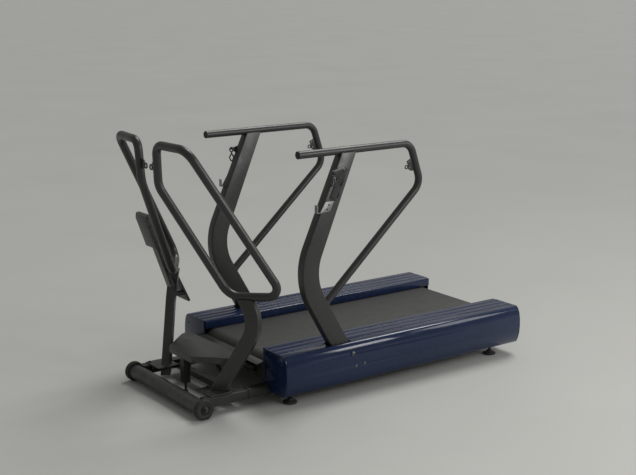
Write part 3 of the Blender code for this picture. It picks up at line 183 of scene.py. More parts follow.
@dataclass(frozen=True)
class Finish:
    """A surface finish and the procedural material that shows it."""

    slot: Slot
    colour: Colour
    roughness: float
    metallic: float = 0.0
    coat: float = 0.0
    specular: float = 0.5
    mottle: float = 0.12
    mottle_scale: float = 6.0
    roughness_swing: float = 0.06
    grain: float = 0.15
    grain_scale: float = 900.0
    wear: float = 0.0
    wear_colour: Colour = (0.3, 0.3, 0.3)
    stretch: Point = (1.0, 1.0, 1.0)
    name: str = ""

    def material(self) -> bpy.types.Material:
        """Build the finish's material once and hand it out again after that.

        Returns:
            The node material.
        """
        title = "finish_" + (self.name or self.slot.value)
        found = bpy.data.materials.get(title)
        if found:
            return found
        graph = Graph(title)
        shader = graph.shader
        shader.inputs["Metallic"].default_value = self.metallic
        shader.inputs["Coat Weight"].default_value = self.coat
        shader.inputs["Specular IOR Level"].default_value = self.specular
        shader.inputs["Coat Roughness"].default_value = COAT_ROUGHNESS
        place = graph.place(self.stretch)
        broad = graph.noise(place, self.mottle_scale, 4.0)
        colour = graph.mottled(broad, self.colour, self.mottle, NOISE_SPAN)
        if self.wear:
            colour = self.worn(graph, place, colour)
        swing = self.roughness_swing
        spread = (max(0.03, self.roughness - swing), min(1.0, self.roughness + swing))
        dust = graph.noise(place, self.mottle_scale * ROUGHNESS_NOISE, 5.0)
        rough = graph.ranged(dust, NOISE_SPAN, spread)
        grain = graph.add("ShaderNodeBump", Strength=self.grain, Distance=GRAIN_DEPTH,
                          Height=graph.noise(place, self.grain_scale, 2.0))
        graph.feed(shader.inputs["Base Color"], colour)
        graph.feed(shader.inputs["Roughness"], rough)
        graph.feed(shader.inputs["Normal"], grain.outputs["Normal"])
        return graph.material

    def worn(self, graph: Graph, place: Socket, colour: Socket) -> Socket:
        """Rub the colour lighter along edges, broken up by noise.

        Args:
            graph: the material's graph.
            place: output that places the noise.
            colour: output with the colour before wear.

        Returns:
            The output with the worn colour.
        """
        edge = graph.ranged(graph.add("ShaderNodeNewGeometry").outputs["Pointiness"], EDGE_SPAN)
        spots = graph.ranged(graph.noise(place, SPOT_SCALE, 6.0), SPOT_SPAN, (0.0, self.wear))
        share = graph.add("ShaderNodeMath")
        share.operation = "MULTIPLY"
        graph.feed(share.inputs[0], edge)
        graph.feed(share.inputs[1], spots)
        mix = graph.add("ShaderNodeMix", Factor=share.outputs["Value"])
        mix.data_type = "RGBA"
        before, after = (s for s in mix.inputs if s.type == "RGBA")
        graph.feed(before, colour)
        graph.feed(after, (*self.wear_colour, 1.0))
        return next(s for s in mix.outputs if s.type == "RGBA")


POWDER_COAT = Finish(Slot.FRAME, (0.026, 0.026, 0.024), 0.36, mottle=0.14, mottle_scale=5.0, grain=0.30,
                     grain_scale=1400.0, wear=0.35, wear_colour=(0.09, 0.09, 0.085))
NAVY_SHELL = Finish(Slot.NAVY, (0.006, 0.016, 0.054), 0.14, coat=0.10, specular=0.36, mottle=0.10,
                    mottle_scale=3.0, roughness_swing=0.05, grain=0.05, grain_scale=260.0, wear=0.2,
                    wear_colour=(0.04, 0.055, 0.11))
BELT_FACE = Finish(Slot.BELT, (0.026, 0.026, 0.024), 0.66, mottle=0.10, mottle_scale=7.0, grain=0.7,
                   grain_scale=1100.0, stretch=(1.0, 0.6, 1.0))
SOFT_RUBBER = Finish(Slot.RUBBER, (0.020, 0.020, 0.020), 0.72, mottle=0.2, mottle_scale=18.0, grain=0.6,
                     grain_scale=1500.0, wear=0.5, wear_colour=(0.09, 0.09, 0.085))
# Near-black colour that paints the shade of deep holes into the tether plate's shallow slots; it is painted
# shade, not a real rubber part.
HOLE_SHADE_BLACK = replace(SOFT_RUBBER, colour=(0.006, 0.006, 0.006), roughness=0.85, grain=0.5, wear=0.0,
                       name="painted_hole_shade")
MOULDED = Finish(Slot.PLASTIC, (0.022, 0.022, 0.023), 0.48, mottle=0.12, mottle_scale=14.0, grain=0.5,
                 grain_scale=1800.0, wear=0.3, wear_colour=(0.08, 0.08, 0.08))
ZINC = Finish(Slot.STEEL, (0.27, 0.27, 0.265), 0.50, metallic=0.9, mottle=0.16, mottle_scale=60.0,
              roughness_swing=0.12, grain=0.2, grain_scale=1200.0, stretch=(1.0, 6.0, 1.0))
DULL_ZINC = Finish(Slot.STEEL, (0.20, 0.20, 0.205), 0.42, metallic=0.9, mottle=0.15, mottle_scale=60.0,
                   roughness_swing=0.08, grain=0.2, grain_scale=1200.0, name="dull_zinc")
BLACK_ZINC = replace(DULL_ZINC, colour=(0.055, 0.055, 0.058), roughness=0.36, metallic=0.85, wear=0.5,
                     wear_colour=(0.32, 0.32, 0.31), name="black_zinc")
WAXED_BOARD = Finish(Slot.BOARD, (0.17, 0.10, 0.055), 0.55, mottle=0.25, mottle_scale=9.0, grain=0.4,
                     grain_scale=300.0, stretch=(1.0, 0.08, 1.0))
DARK_IRON = Finish(Slot.IRON, (0.09, 0.09, 0.09), 0.52, metallic=0.8, mottle=0.2, mottle_scale=30.0,
                   grain=0.8, grain_scale=500.0)
FINISH_OF = {f.slot: f for f in
             (POWDER_COAT, NAVY_SHELL, BELT_FACE, SOFT_RUBBER, MOULDED, ZINC, WAXED_BOARD, DARK_IRON)}


def deselect() -> None:
    """Leave nothing selected and no piece active."""
    for obj in bpy.context.selected_objects:
        obj.select_set(False)
    bpy.context.view_layer.objects.active = None


def activate(obj: Piece) -> None:
    """Select one piece alone and make it active.

    Args:
        obj: the piece.
    """
    deselect()
    obj.select_set(True)
    bpy.context.view_layer.objects.active = obj


@contextmanager
def editing(obj: Piece, mode: str = "VERT") -> Iterator[None]:
    """Open a piece in edit mode with all of it selected, and close it afterwards.

    Args:
        obj: the piece.
        mode: select mode, VERT, EDGE or FACE.

    Yields:
        Nothing; the body of the with block runs in edit mode.
    """
    activate(obj)
    bpy.ops.object.mode_set(mode="EDIT")
    bpy.ops.mesh.select_mode(type=mode)
    bpy.ops.mesh.select_all(action="SELECT")
    yield
    bpy.ops.object.mode_set(mode="OBJECT")


def pick(obj: Piece, test: Callable[[Vector], bool]) -> None:
    """Select the vertices of the open piece that pass a test, and no others.

    Args:
        obj: the piece, in edit mode.
        test: takes a vertex's place.
    """
    bpy.ops.mesh.select_mode(type="VERT")
    mesh = bmesh.from_edit_mesh(obj.data)
    for vert in mesh.verts:
        vert.select_set(test(vert.co))
    mesh.select_flush_mode()
    mesh.select_flush(True)
    bmesh.update_edit_mesh(obj.data)


def settle(obj: Piece) -> None:
    """Put a piece's place, turn and size into its mesh."""
    activate(obj)
    bpy.ops.object.transform_apply(location=True, rotation=True, scale=True)


def named(name: str) -> Piece:
    """Name the piece that was just added.

    Args:
        name: the piece's name.

    Returns:
        The piece.
    """
    obj = bpy.context.active_object
    obj.name = name
    obj.data.name = name
    return obj


def extrude(vector: Point) -> None:
    """Extrude what is selected along a vector."""
    bpy.ops.mesh.extrude_region_move(TRANSFORM_OT_translate={"value": vector})


def cut_level(height: float, way: int) -> None:
    """Cut the open piece off at a height and close it; way 1 removes what is above, -1 below."""
    bpy.ops.mesh.select_all(action="SELECT")
    bpy.ops.mesh.bisect(plane_co=(0, 0, height), plane_no=(0, 0, way), use_fill=True, clear_outer=True)


def drawn(name: str, points: Sequence[Point], closed: bool) -> Piece:
    """Draw a line of edges point by point, by extruding one vertex.

    Args:
        name: the piece's name.
        points: the line's points.
        closed: whether the line comes back to its start.

    Returns:
        The piece, with the line as its mesh.
    """
    deselect()
    bpy.ops.mesh.primitive_plane_add(size=0.01, location=points[0])
    obj = named(name)
    settle(obj)
    here = Vector(points[0])
    with editing(obj):
        bpy.ops.mesh.merge(type="CENTER")
        for point in points[1:]:
            extrude(Vector(point) - here)
            here = Vector(point)
        if closed:
            ends = [Vector(points[0]), Vector(points[-1])]
            pick(obj, lambda co: min((co - end).length for end in ends) < 1e-6)
            bpy.ops.mesh.edge_face_add()
    return obj


def pull(obj: Piece, vector: Point) -> None:
    """Extrude everything in a piece along a vector."""
    with editing(obj):
        extrude(vector)


def outward(obj: Piece) -> None:
    """Merge doubles and turn all faces outwards.

    Args:
        obj: the piece.
    """
    with editing(obj):
        bpy.ops.mesh.remove_doubles(threshold=1e-5)
        bpy.ops.mesh.normals_make_consistent(inside=False)


def face_up(obj: Piece) -> None:
    """Flip a sheet if its top face looks down.

    Args:
        obj: the sheet.
    """
    with editing(obj):
        mesh = bmesh.from_edit_mesh(obj.data)
        highest = max(mesh.faces, key=lambda f: (round(f.calc_center_median().z, 5), f.calc_area()))
        if highest.normal.z < 0:
            bpy.ops.mesh.flip_normals()


def apply_all(obj: Piece) -> None:
    """Apply every modifier of a piece in order.

    Args:
        obj: the piece.
    """
    activate(obj)
    for mod in list(obj.modifiers):
        bpy.ops.object.modifier_apply(modifier=mod.name)


def thicken(obj: Piece, wall: float) -> None:
    """Give a sheet its thickness, inwards from its faces.

    Args:
        obj: the piece.
        wall: thickness.
    """
    mod = obj.modifiers.new("wall", "SOLIDIFY")
    mod.thickness = wall
    mod.offset = -1.0
    mod.use_even_offset = True
    apply_all(obj)


def smooth(obj: Piece, angle: float) -> None:
    """Shade a piece smooth except at edges sharper than an angle in degrees."""
    activate(obj)
    bpy.ops.object.shade_smooth_by_angle(angle=math.radians(angle))


def soften(obj: Piece, width: float, segments: int = 3, angle: float = 28.0) -> None:
    """Round a piece's sharp edges and shade it.

    Args:
        obj: the piece.
        width: how far the rounding reaches from the edge.
        segments: steps in the rounding.
        angle: edges sharper than this, in degrees, are rounded.
    """
    mod = obj.modifiers.new("edges", "BEVEL")
    mod.width = width
    mod.segments = segments
    mod.limit_method = "ANGLE"
    mod.angle_limit = math.radians(angle)
    mod.use_clamp_overlap = True
    mod.harden_normals = False
    apply_all(obj)
    smooth(obj, 40.0)


def solid(name: str, outline: Sequence[Point], vector: Point, width: float = 0.0015) -> Piece:
    """Fill a flat outline, extrude it and round its edges.

    Args:
        name: the piece's name.
        outline: the corners.
        vector: how far and which way the face is extruded.
        width: rounding of the edges, or 0 for none.

    Returns:
        The piece.
    """
    obj = drawn(name, outline, True)
    with editing(obj):
        bpy.ops.mesh.edge_face_add()
        extrude(vector)
    outward(obj)
    if width:
        soften(obj, width)
    return obj


def turned(name: str, profile: Sequence[Pair], centre: Point, axis: Point, steps: int = 48,
           angle: float = 35.0) -> Piece:
    """Turn a profile about an axis, as on a lathe.

    Args:
        name: the piece's name.
        profile: (distance along the axis, radius) points.
        centre: where distance 0 is.
        axis: the axis' direction.
        steps: steps in the full turn.
        angle: edges sharper than this, in degrees, stay sharp.

    Returns:
        The piece.
    """
    along = Vector(axis).normalized()
    across = along.orthogonal().normalized()
    points = [Vector(centre) + along * distance + across * radius for distance, radius in profile]
    obj = drawn(name, points, False)
    with editing(obj):
        bpy.ops.mesh.spin(steps=steps, angle=2 * math.pi, center=centre, axis=along)
    outward(obj)
    smooth(obj, angle)
    return obj


def joined(name: str, parts: Sequence[Piece]) -> Piece:
    """Join meshes into one piece.

    Args:
        name: the joined piece's name.
        parts: the meshes; all but the first vanish.

    Returns:
        The piece.
    """
    deselect()
    for part in parts:
        part.select_set(True)
    bpy.context.view_layer.objects.active = parts[0]
    bpy.ops.object.join()
    return named(name)


def dress(obj: Piece, finish: Finish, body: str = ROOT, *nodes: str) -> None:
    """Give a piece its finish, its body and the nodes that it stands for.

    Args:
        obj: the piece.
        finish: its surface.
        body: the CAD body that it rides on.
        nodes: CAD nodes that it replaces.
    """
    obj.data.materials.clear()
    obj.data.materials.append(finish.material())
    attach(obj, body)
    if nodes:
        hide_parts(*nodes)
    LOG.info("%s: %d faces on %s", obj.name, len(obj.data.polygons), body)


def node_copy(node: str, name: str, width: float, segments: int = 2) -> Piece:
    """Copy a CAD node, clean its faces and round its edges.

    Args:
        node: the CAD node.
        name: the new piece's name.
        width: rounding of the edges.
        segments: steps in the rounding.

    Returns:
        The new piece, which rides on nothing yet.
    """
    source = frame["nodes"][node]
    obj = bpy.data.objects.new(name, source.data.copy())
    obj.data.name = name
    bpy.context.scene.collection.objects.link(obj)
    with editing(obj):
        bpy.ops.mesh.remove_doubles(threshold=1e-5)
        bpy.ops.mesh.dissolve_limited(angle_limit=math.radians(0.6))
        bpy.ops.mesh.normals_make_consistent(inside=False)
    soften(obj, width, segments)
    return obj


def finished(node: str, name: str, finish: Finish, width: float, segments: int = 2) -> None:
    """Make a piece from a CAD node's copy, with rounded edges, and let it replace the node."""
    dress(node_copy(node, name, width, segments), finish, ROOT, node)


@dataclass(frozen=True)
class Bend:
    """One arc of a bent tube's centre line."""

    start: Vector
    end: Vector
    centre: Vector
    axis: Vector
    angle: float


def bends_of(corners: Sequence[Vector], radii: Sequence[float], closed: bool) -> list[Bend]:
    """Work out the arcs that round a line's corners.

    Args:
        corners: the line's corners.
        radii: one radius for each bent corner.
        closed: whether the line is a loop, in which case every corner is bent.

    Returns:
        The arcs in order.
    """
    count = len(corners)
    bent = range(count) if closed else range(1, count - 1)
    arcs = []
    for number, index in enumerate(bent):
        corner = corners[index]
        back = (corners[index - 1] - corner).normalized()
        ahead = (corners[(index + 1) % count] - corner).normalized()
        angle = back.angle(ahead)
        run = radii[number] / math.tan(angle / 2)
        centre = corner + (back + ahead).normalized() * (radii[number] / math.sin(angle / 2))
        axis = (-back).cross(ahead).normalized()
        arcs.append(Bend(corner + back * run, corner + ahead * run, centre, axis, math.pi - angle))
    return arcs


def bend_along(start: Vector, arcs: Sequence[Bend], end: Vector, steps: int) -> None:
    """Extrude the open piece's selected ring straight and spin it round each arc in turn.

    Args:
        start: where the ring is.
        arcs: the arcs to follow.
        end: where the last straight run stops.
        steps: steps in each arc.
    """
    here = start
    for arc in arcs:
        extrude(arc.start - here)
        bpy.ops.mesh.spin(steps=steps, angle=arc.angle, center=arc.centre, axis=-arc.axis)
        here = arc.end
    extrude(end - here)


def tube(name: str, corners: Sequence[Point], radii: Sequence[float], radius: float, sides: int, steps: int,
         closed: bool = False) -> Piece:
    """Bend a round tube through a line of corners.

    Args:
        name: the piece's name.
        corners: the line's corners.
        radii: one bend radius for each bent corner.
        radius: the tube's own radius.
        sides: sides of its section.
        steps: steps in each bend.
        closed: whether the tube is a loop.

    Returns:
        The piece, shaded smooth.
    """
    points = [Vector(c) for c in corners]
    arcs = bends_of(points, radii, closed)
    if closed:
        start = (arcs[-1].end + arcs[0].start) / 2
        end = start - (arcs[0].start - start) * 0.2
    else:
        start, end = points[0], points[-1]
    along = arcs[0].start - start
    deselect()
    bpy.ops.mesh.primitive_circle_add(vertices=sides, radius=radius, location=start,
                                      rotation=along.to_track_quat("Z", "Y").to_euler())
    obj = named(name)
    settle(obj)
    with editing(obj):
        bend_along(start, arcs, end, steps)
        if closed:
            bpy.ops.mesh.select_all(action="DESELECT")
            bpy.ops.mesh.select_non_manifold()
            bpy.ops.mesh.bridge_edge_loops()
    outward(obj)
    smooth(obj, 50.0)
    return obj


def box_section(name: str, centre: Vector, along: Vector, across: Vector, depth: float, width: float,
                corner: float) -> Piece:
    """Add a rectangle with rounded corners, square to a direction.

    Args:
        name: the piece's name.
        centre: its middle.
        along: the direction that it faces.
        across: the direction of its width.
        depth: its other size.
        width: its size along across.
        corner: radius of its corners.

    Returns:
        The piece, with only the edges.
    """
    deselect()
    bpy.ops.mesh.primitive_plane_add(size=1.0)
    obj = named(name)
    with editing(obj):
        bpy.ops.transform.resize(value=(depth, width, 1.0), center_override=(0.0, 0.0, 0.0))
        bpy.ops.mesh.bevel(offset=corner, segments=4, affect="VERTICES")
        bpy.ops.mesh.select_all(action="SELECT")
        bpy.ops.mesh.delete(type="ONLY_FACE")
    ahead = along.normalized()
    side = (across - ahead * across.dot(ahead)).normalized()
    turn = Matrix((side.cross(ahead), side, ahead)).transposed()
    obj.matrix_world = Matrix.Translation(centre) @ turn.to_4x4()
    settle(obj)
    return obj


def torus(name: str, radius: float, wire: float, place: Point = (0, 0, 0), turn: Point = (0, 0, 0),
          steps: tuple[int, int] = (40, 14)) -> Piece:
    """Add a ring of round wire.

    Args:
        name: the piece's name.
        radius: radius of the wire's line.
        wire: radius of the wire.
        place: the ring's middle.
        turn: its rotation.
        steps: steps round the ring and round the wire.

    Returns:
        The piece.
    """
    deselect()
    bpy.ops.mesh.primitive_torus_add(major_radius=radius, minor_radius=wire, major_segments=steps[0],
                                     minor_segments=steps[1], location=place, rotation=turn)
    obj = named(name)
    settle(obj)
    smooth(obj, 60.0)
    return obj


def weld(centre: Vector, along: Vector, radius: float, bead: float) -> Piece:
    """Lay a weld bead round a tube, with the small ripples of its runs.

    Args:
        centre: the joint's middle.
        along: the tube's direction.
        radius: radius of the bead's line.
        bead: radius of the bead.

    Returns:
        The piece.
    """
    obj = torus("bead", radius, bead, steps=(72, 10))
    ripple = 2 * math.pi / WELD_RIPPLES
    with editing(obj):
        pick(obj, lambda co: math.atan2(co.y, co.x) % ripple < ripple / 2)
        bpy.ops.transform.resize(value=(1.006, 1.006, 0.86), center_override=(0.0, 0.0, 0.0))
    obj.rotation_euler = along.to_track_quat("Z", "Y").to_euler()
    obj.location = centre
    settle(obj)
    outward(obj)
    smooth(obj, 60.0)
    return obj


def carve(obj: Piece, cutter: Piece, folded: bool = False) -> None:
    """Cut one mesh out of another and remove the cutter.

    Args:
        obj: the piece.
        cutter: the mesh that is cut away.
        folded: whether the piece's own faces may touch each other, as in a tight corner of a wall.
    """
    mod = obj.modifiers.new("cut", "BOOLEAN")
    mod.operation = "DIFFERENCE"
    mod.solver = "EXACT"
    mod.use_self = folded
    mod.object = cutter
    apply_all(obj)
    bpy.data.objects.remove(cutter, do_unlink=True)


def rod(name: str, span: Pair, radius: float, place: Point, axis: Point, steps: int,
        angle: float = 35.0) -> Piece:
    """Turn a plain rod or disc with two ends along an axis; with 6 steps it is a hexagon."""
    start, end = span
    return turned(name, [(start, 0), (start, radius), (end, radius), (end, 0)], place, axis, steps, angle)


def screw(place: Point, axis: Point, radius: float, tall: float) -> Piece:
    """Turn a dome-headed screw with a hexagon socket.

    Args:
        place: middle of the head's seat.
        axis: the way that the head faces.
        radius: the head's radius.
        tall: the head's height.

    Returns:
        The piece.
    """
    profile = [(-tall * 0.4, 0.0), (-tall * 0.4, radius * 0.5), (0.0, radius * 0.5), (0.0, radius * 0.98),
               (tall * 0.25, radius), (tall * 0.6, radius * 0.88), (tall * 0.88, radius * 0.66),
               (tall, radius * 0.46), (tall, 0.0)]
    head = turned("head", profile, place, axis, 28, 38.0)
    carve(head, rod("bit", (tall * 0.35, tall * 1.6), radius * 0.42, place, axis, 6, 20.0))
    smooth(head, 38.0)
    return head


def screws(name: str, places: Sequence[Point], axis: Point, radius: float, tall: float) -> None:
    """Set two or more black screws as one piece that replaces no node."""
    dress(joined(name, [screw(place, axis, radius, tall) for place in places]), BLACK_ZINC)


def nut_on_washer(place: Point, axis: Point, washer: Pair, nut: Pair, edge: float,
                  steps: int) -> list[Piece]:
    """Turn a hexagon nut or bolt head with its washer.

    Args:
        place: middle of the washer's seat.
        axis: the way that the nut faces.
        washer: the washer's radius and thickness.
        nut: the nut's radius and the height of its top.
        edge: rounding of the nut's edges.
        steps: steps round the washer.

    Returns:
        The washer and the nut.
    """
    disc = rod("washer", (0, washer[1]), washer[0], place, axis, steps)
    block = rod("nut", (washer[1], nut[1]), nut[0], place, axis, 6, 20.0)
    soften(block, edge, 2, 25.0)
    return [disc, block]


def eyed_plate(outline: Sequence[Point], across: Point, eyes: Sequence[Point]) -> Piece:
    """Cut a small lug plate with round eyes.

    Args:
        outline: the corners of one face.
        across: from that face to the other one.
        eyes: where the cutter of each eye starts, outside the plate.

    Returns:
        The piece.
    """
    plate = solid("lug", outline, across, PLATE_EDGE)
    for eye in eyes:
        carve(plate, rod("eye", (0, 0.02), EYE_R, eye, across, 24))
    smooth(plate, 35.0)
    return plate


def rectangle(low: Pair, high: Pair) -> list[Pair]:
    """Return a rectangle's four corners in order, from its lowest and its highest one."""
    return [low, (high[0], low[1]), high, (low[0], high[1])]


@dataclass
class Sided:
    """A sub-assembly that is built once for each side."""

    side: Side

    @property
    def word(self) -> str:
        """Name of the side in piece and node names."""
        return self.side.name.lower()

    @property
    def sign(self) -> int:
        """Direction of the side on X."""
        return self.side.value

    def at(self, point: Point) -> Vector:
        """Mirror a left-hand point to this side."""
        return Vector((self.sign * point[0], point[1], point[2]))


@dataclass
class PushLoop(Sided):
    """One tall loop that the user pushes on, with its lug and ring."""

    radius: float = 0.0208
    corners: tuple[Point, ...] = ((0.092, -1.001, 1.299), (0.341, -0.980, 1.300), (0.516, -0.568, 0.583),
                                  (0.277, -0.724, 0.559), (0.084, -0.990, 1.099))
    bends: tuple[float, ...] = (0.050, 0.080, 0.060, 0.100, 0.120)
    lug_z: float = 1.187
    lug_thick: float = 0.006
    lug_length: float = 0.034
    ring_radius: float = 0.0115
    ring_wire: float = 0.0040
    ring_reach: float = 0.0105
    ring_drop: float = 0.0039
    eye_back: float = 0.026
    eye_up: float = 0.0117

    def build(self) -> None:
        """Build the loop, its lug and ring as one welded piece."""
        corners = [self.at(c) for c in self.corners]
        bar = tube("bar", corners, self.bends, self.radius, 36, 14, closed=True)
        top, low = Vector(self.corners[0]), Vector(self.corners[4])
        root = low + (top - low) * ((self.lug_z - low.z) / (top.z - low.z))
        outer = root.x - self.radius + 0.004
        spot = (outer - self.lug_length - self.ring_reach, root.y, self.lug_z - self.ring_drop)
        ring = torus("ring", self.ring_radius, self.ring_wire, self.at(spot), (math.pi / 2, 0, 0))
        bead = weld(self.at((outer - 0.003, root.y, self.lug_z)), Vector((1, 0, 0)), 0.0150, 0.002)
        piece = joined("push_loop_tube_" + self.word, [bar, self.lug(outer, root.y), ring, bead])
        dress(piece, POWDER_COAT, ROOT, "push_loop_" + self.word)

    def lug(self, outer: float, y: float) -> Piece:
        """Cut the rounded lug with its eye.

        Args:
            outer: X of its welded edge, on the left-hand side.
            y: its middle plane.

        Returns:
            The lug.
        """
        shape = ((0, -0.026), (0, 0.026), (0.024, 0.026), (0.031, 0.020), (self.lug_length, 0.010),
                 (self.lug_length, -0.012), (0.027, -0.017))
        outline = [self.at((outer - back, y - self.lug_thick / 2, self.lug_z + up)) for back, up in shape]
        eye = self.at((outer - self.eye_back, y - 0.01, self.lug_z + self.eye_up))
        return eyed_plate(outline, (0, self.lug_thick, 0), [eye])


@dataclass
class Handrail(Sided):
    """One bent handrail with its lug, ring and rubber end cap."""

    x: float = UPRIGHT_X
    radius: float = 0.019
    front_y: float = -0.430
    height: float = 1.2375
    top_corner: Pair = (0.265, 1.2375)
    low_corner: Pair = (0.337, 1.024)
    foot: Pair = (-0.2586, 0.487)
    inset: float = 0.016
    top_bend: float = 0.070
    low_bend: float = 0.080
    cap: float = 0.006
    lug_outline: tuple[Pair, ...] = (
        (0.2450, 1.1430), (0.2520, 1.1290), (0.2550, 1.1050), (0.2680, 1.0960), (0.2750, 1.0935),
        (0.2965, 1.0935), (0.2775, 1.1570), (0.2690, 1.1570), (0.2550, 1.1500))
    lug_eyes: tuple[Pair, ...] = ((0.2605, 1.1405), (0.2665, 1.1110))
    ring_place: Pair = (0.2435, 1.1155)
    ring_radius: float = 0.0085
    ring_wire: float = 0.0030
    lug_thick: float = 0.006

    def build(self) -> None:
        """Build the rail with its lug and ring, and its cap."""
        x = self.sign * self.x
        front, top, low, end = (Vector((x, *p)) for p in ((self.front_y + self.cap, self.height),
                                                          self.top_corner, self.low_corner, self.foot))
        foot = end + (end - low).normalized() * self.inset
        rail = tube("rail", [front, top, low, foot], (self.top_bend, self.low_bend), self.radius, 36, 14)
        run = (foot - low).normalized()
        bead = weld(foot - run * 0.018, run + Vector((0, 0.25, 0)), self.radius + 0.0005, 0.0032)
        outline = [(x - self.lug_thick / 2, y, z) for y, z in self.lug_outline]
        lug = eyed_plate(outline, (self.lug_thick, 0, 0), [(x - 0.01, y, z) for y, z in self.lug_eyes])
        ring = torus("ring", self.ring_radius, self.ring_wire, (x, *self.ring_place), (0, math.pi / 2, 0))
        piece = joined("handrail_tube_" + self.word, [rail, lug, ring, bead])
        dress(piece, POWDER_COAT, ROOT, "handrail_" + self.word)
        self.end_cap()

    def end_cap(self) -> None:
        """Turn the domed plug in the rail's front end."""
        edge = self.radius + 0.0004
        profile = [(0.0, 0.0), (0.0, edge * 0.72), (0.0006, edge * 0.86), (0.0022, edge * 0.97),
                   (0.0042, edge), (self.cap, edge), (self.cap, self.radius * 0.8),
                   (0.02, self.radius * 0.78), (0.02, 0.0)]
        place = self.at((self.x, self.front_y, self.height))
        cap = turned("handrail_plug_" + self.word, profile, place, (0, 1, 0))
        dress(cap, SOFT_RUBBER, ROOT, "handrail_cap_" + self.word)


@dataclass
class DeckUpright(Sided):
    """The leaning box tube that carries a handrail."""

    x: float = UPRIGHT_X
    width: float = 0.050
    depth: float = 0.098
    depth_top: float = 0.084
    foot: Pair = (-0.0854, 0.090)
    knee: Pair = (-0.398, 0.630)
    head: Pair = (-0.1425, 1.2182)
    bend: float = 0.280
    corner: float = 0.006
    top: float = 1.2290
    overrun: float = 0.060

    def build(self) -> None:
        """Bend the box tube, narrow its upper half and cut its top level under the rail."""
        x = self.sign * self.x
        foot, knee, head = (Vector((x, *p)) for p in (self.foot, self.knee, self.head))
        rise = (head - knee).normalized()
        end = head + rise * self.overrun
        obj = box_section("deck_upright_" + self.word, foot, knee - foot, Vector((1, 0, 0)), self.depth,
                          self.width, self.corner)
        arcs = bends_of([foot, knee, end], [self.bend], False)
        with editing(obj):
            bend_along(foot, arcs, end, 18)
            self.narrow(obj, end, rise, end - arcs[0].end)
            cut_level(self.top, 1)
        outward(obj)
        soften(obj, TUBE_EDGE, 2, 50.0)
        dress(obj, POWDER_COAT, ROOT, "handrail_upright_" + self.word)

    def narrow(self, obj: Piece, end: Vector, rise: Vector, run: Vector) -> None:
        """Move the end ring's front and rear faces towards each other.

        Args:
            obj: the piece, in edit mode.
            end: middle of the end ring.
            rise: the tube's direction there.
            run: the straight run that ends in the ring.
        """
        across = Vector((0, rise.z, -rise.y))
        less = (self.depth - self.depth_top) / 2 * run.length / (run.length - self.overrun)
        for sign in (1, -1):
            pick(obj, lambda co: abs((co - end).dot(rise)) < 0.002 and sign * (co - end).dot(across) > 0.01)
            bpy.ops.transform.translate(value=across * (-sign * less))


